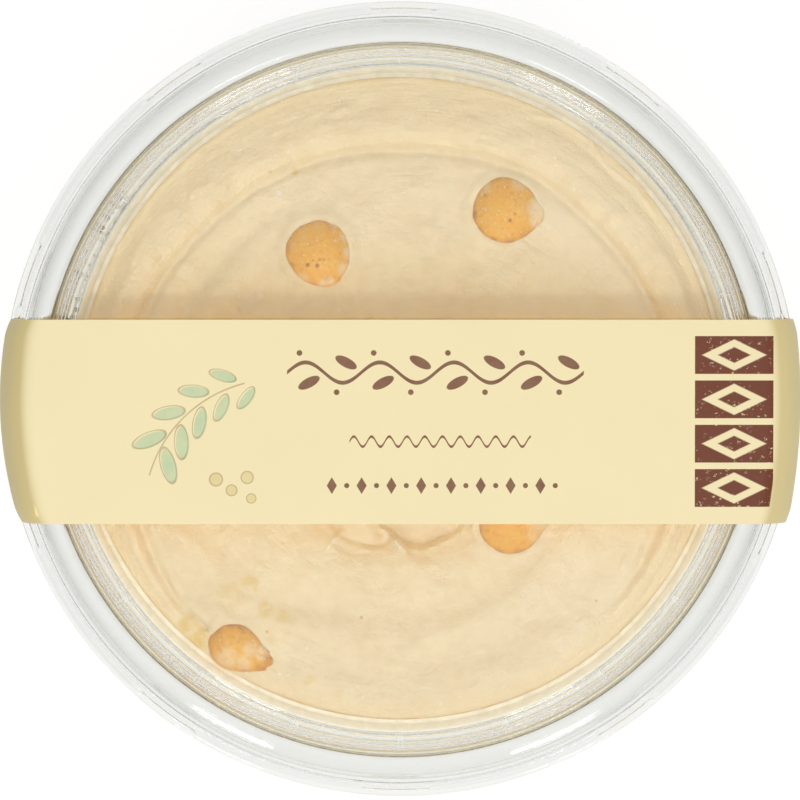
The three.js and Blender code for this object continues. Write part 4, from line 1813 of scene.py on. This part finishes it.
@dataclass
class Studio:
    """Floor, lights, surroundings and camera."""

    floor_size: float = 3.0
    lean: float = 2.3  # how far the camera leans towards the back
    camera_distance: float = 0.9
    frame_width: float = 118.8  # what the picture spans at the lid's flange
    aim: tuple[float, float, float] = (-0.03, -0.07, 36.0)
    sensor: float = 36.0
    panels: Sequence[Panel] = (
        Panel("strip_left", -115.3, 64.5, 0.9, 0.085, 0.13, 0.6),
        Panel("strip_right", -67.0, 64.5, 0.9, 0.085, 0.13, 0.6),
    )
    seeping: Panel = Panel(  # a weak warm fill, for the light that seeps through the card
        "seeping_light", 0.0, 90.0, 0.04107, 0.108, 0.028, 0.006, (1.0, 0.72, 0.22)
    )
    seeping_y: float = -3.1
    warmth: Colour = (1.0, 0.93, 0.78)  # tint of the room low down
    warmth_rise: Pair = (0.15, 0.6)  # heights of the view over which it fades
    sky: float = 1.53
    horizon: float = 0.8
    sky_rise: Pair = (0.3, 0.75)  # heights of the view over which the sky sets in
    sides_off: float = 0.82  # how much darker the room is at the sides
    sides_reach: Pair = (0.25, 0.7)
    sides_shift: float = 0.05  # how much sooner it gets dark at the left than at the right
    ahead_off: float = 0.25  # how much darker it is towards the back, and brighter to the front
    bounces: int = 10
    soft_bounces: int = 3

    def lay_floor(self) -> None:
        """Lays the floor under the pack."""
        shape = bmesh.new()
        bmesh.ops.create_grid(shape, x_segments=1, y_segments=1, size=self.floor_size / 2)
        floor = to_object(shape, "studio_floor", FloorFinish().make())

    @staticmethod
    def new_lamp(panel: Panel) -> bpy.types.Object:
        """Makes a rectangular lamp at the origin, which faces down.

        Args:
            panel: Its size, power and tint.

        Returns:
            The lamp.
        """
        light = bpy.data.lights.new(panel.name, "AREA")
        light.shape = "RECTANGLE"
        light.size = panel.wide
        light.size_y = panel.tall
        light.energy = panel.watts
        light.color = panel.tint
        lamp = bpy.data.objects.new(panel.name, light)
        bpy.context.scene.collection.objects.link(lamp)
        return lamp

    def hang_lights(self) -> None:
        """Hangs the soft panels, each facing the pack, and the unseen fill under the sleeve."""
        for panel in self.panels:
            lamp = self.new_lamp(panel)
            way = direction(panel.turn, panel.up)
            lamp.location = way * panel.distance
            lamp.rotation_euler = way.to_track_quat("Z", "Y").to_euler()
        fill = self.new_lamp(self.seeping)
        fill.location = (0.0, self.seeping_y * MM, self.seeping.distance)
        fill.visible_camera = False
        fill.visible_glossy = False
        fill.visible_transmission = False

    def light_room(self) -> None:
        """Fills the room with soft light, darker low down, at the sides and towards the back."""
        world = bpy.data.worlds.new("studio_room")
        tree = Tree(world)
        way = tree.node("ShaderNodeTexCoord").outputs["Generated"]
        side, ahead, rise = tree.axes(way, 1.0)
        glow = self.horizon + (self.sky - self.horizon) * rise.above(*self.sky_rise)
        sides = abs(side - self.sides_shift).above(*self.sides_reach)
        glow *= (1.0 - self.sides_off * sides) * (1.0 - self.ahead_off * ahead)
        tint = tree.blend(rise.above(*self.warmth_rise), self.warmth, WHITE)
        room = tree.node("ShaderNodeBackground", {"Color": tint, "Strength": glow})
        tree.node("ShaderNodeOutputWorld", {"Surface": room.outputs[0]})
        bpy.context.scene.world = world

    def set_camera(self) -> None:
        """Sets the camera above the pack, its frame filled by the lid."""
        camera = bpy.data.cameras.new("camera")
        camera.sensor_width = self.sensor
        camera.lens = self.sensor * self.camera_distance / (self.frame_width * MM)
        camera.clip_end = 10.0
        eye = bpy.data.objects.new("camera", camera)
        lean = math.radians(self.lean)
        back = Vector((0, math.sin(lean), math.cos(lean))) * self.camera_distance
        eye.location = Vector(self.aim) * MM + back
        eye.rotation_euler = Euler((-lean, 0, 0))
        bpy.context.scene.collection.objects.link(eye)
        bpy.context.scene.camera = eye
        bpy.context.scene.view_settings.view_transform = "Standard"

    def set_bounces(self) -> None:
        """Lets light bounce often enough to leave the thin clear walls again."""
        cycles = bpy.context.scene.cycles
        cycles.max_bounces = self.bounces
        cycles.glossy_bounces = self.bounces
        cycles.transmission_bounces = self.bounces
        cycles.transparent_max_bounces = self.bounces
        cycles.diffuse_bounces = self.soft_bounces

    def build(self) -> None:
        """Builds the whole studio."""
        self.set_camera()
        self.set_bounces()
        self.lay_floor()
        self.hang_lights()
        self.light_room()


def main() -> None:
    """Builds the pack and the studio round it."""
    logging.basicConfig(level=logging.INFO, format="%(name)s: %(message)s")
    Studio().build()
    Lid().build(ClearPlastic("lid_plastic").make())
    tub = Tub()
    tub.build(ClearPlastic("tub_plastic").make())
    peas = [
        Chickpea(
            "chickpea_1", -12.3, 22.2, 36.6, (5.9, 5.4, 4.8), -68, 24, 0.45, beak=0.07,
            folds=(Fold(178, 55, 0.7, -0.03), Fold(85, 35, 0.75, -0.02, 0.06)),
        ),
        Chickpea(
            "chickpea_2", 15.4, 28.1, 36.6, (5.6, 5.5, 4.8), -8, 16, 0.45, beak=0.17,
            folds=(Fold(188, 10, 0.82, -0.05),),
        ),
        Chickpea(
            "chickpea_3", 16.2, -18.3, 36.5, (5.6, 5.4, 4.75), 4, 14, 0.4, beak=0.16,
            beak_wide=0.32, folds=(Fold(150, 10, 0.82, -0.04),),
        ),
        Chickpea(
            "chickpea_4", -24.6, -36.9, 36.15, (4.6, 3.95, 4.3), -26, 8, 0.4, beak=0.42,
            beak_wide=0.54, wrinkles=0.09, lap=Lap(105, 200, 1.0, 0.6, 0.5, 2.4, 30),
        ),
    ]
    skin = ChickpeaFinish().make()
    for pea in peas:
        pea.build(skin)
    dip = Hummus(tub, peas)
    dip.build(HummusFinish().make())
    dip.build_films()
    Sleeve().build(
        CardFinish("card_printed", (0.865, 0.75, 0.445), True).make(),
        CardFinish("card_plain", (0.86, 0.75, 0.50), False).make(),
    )


if __name__ == "__main__":
    main()
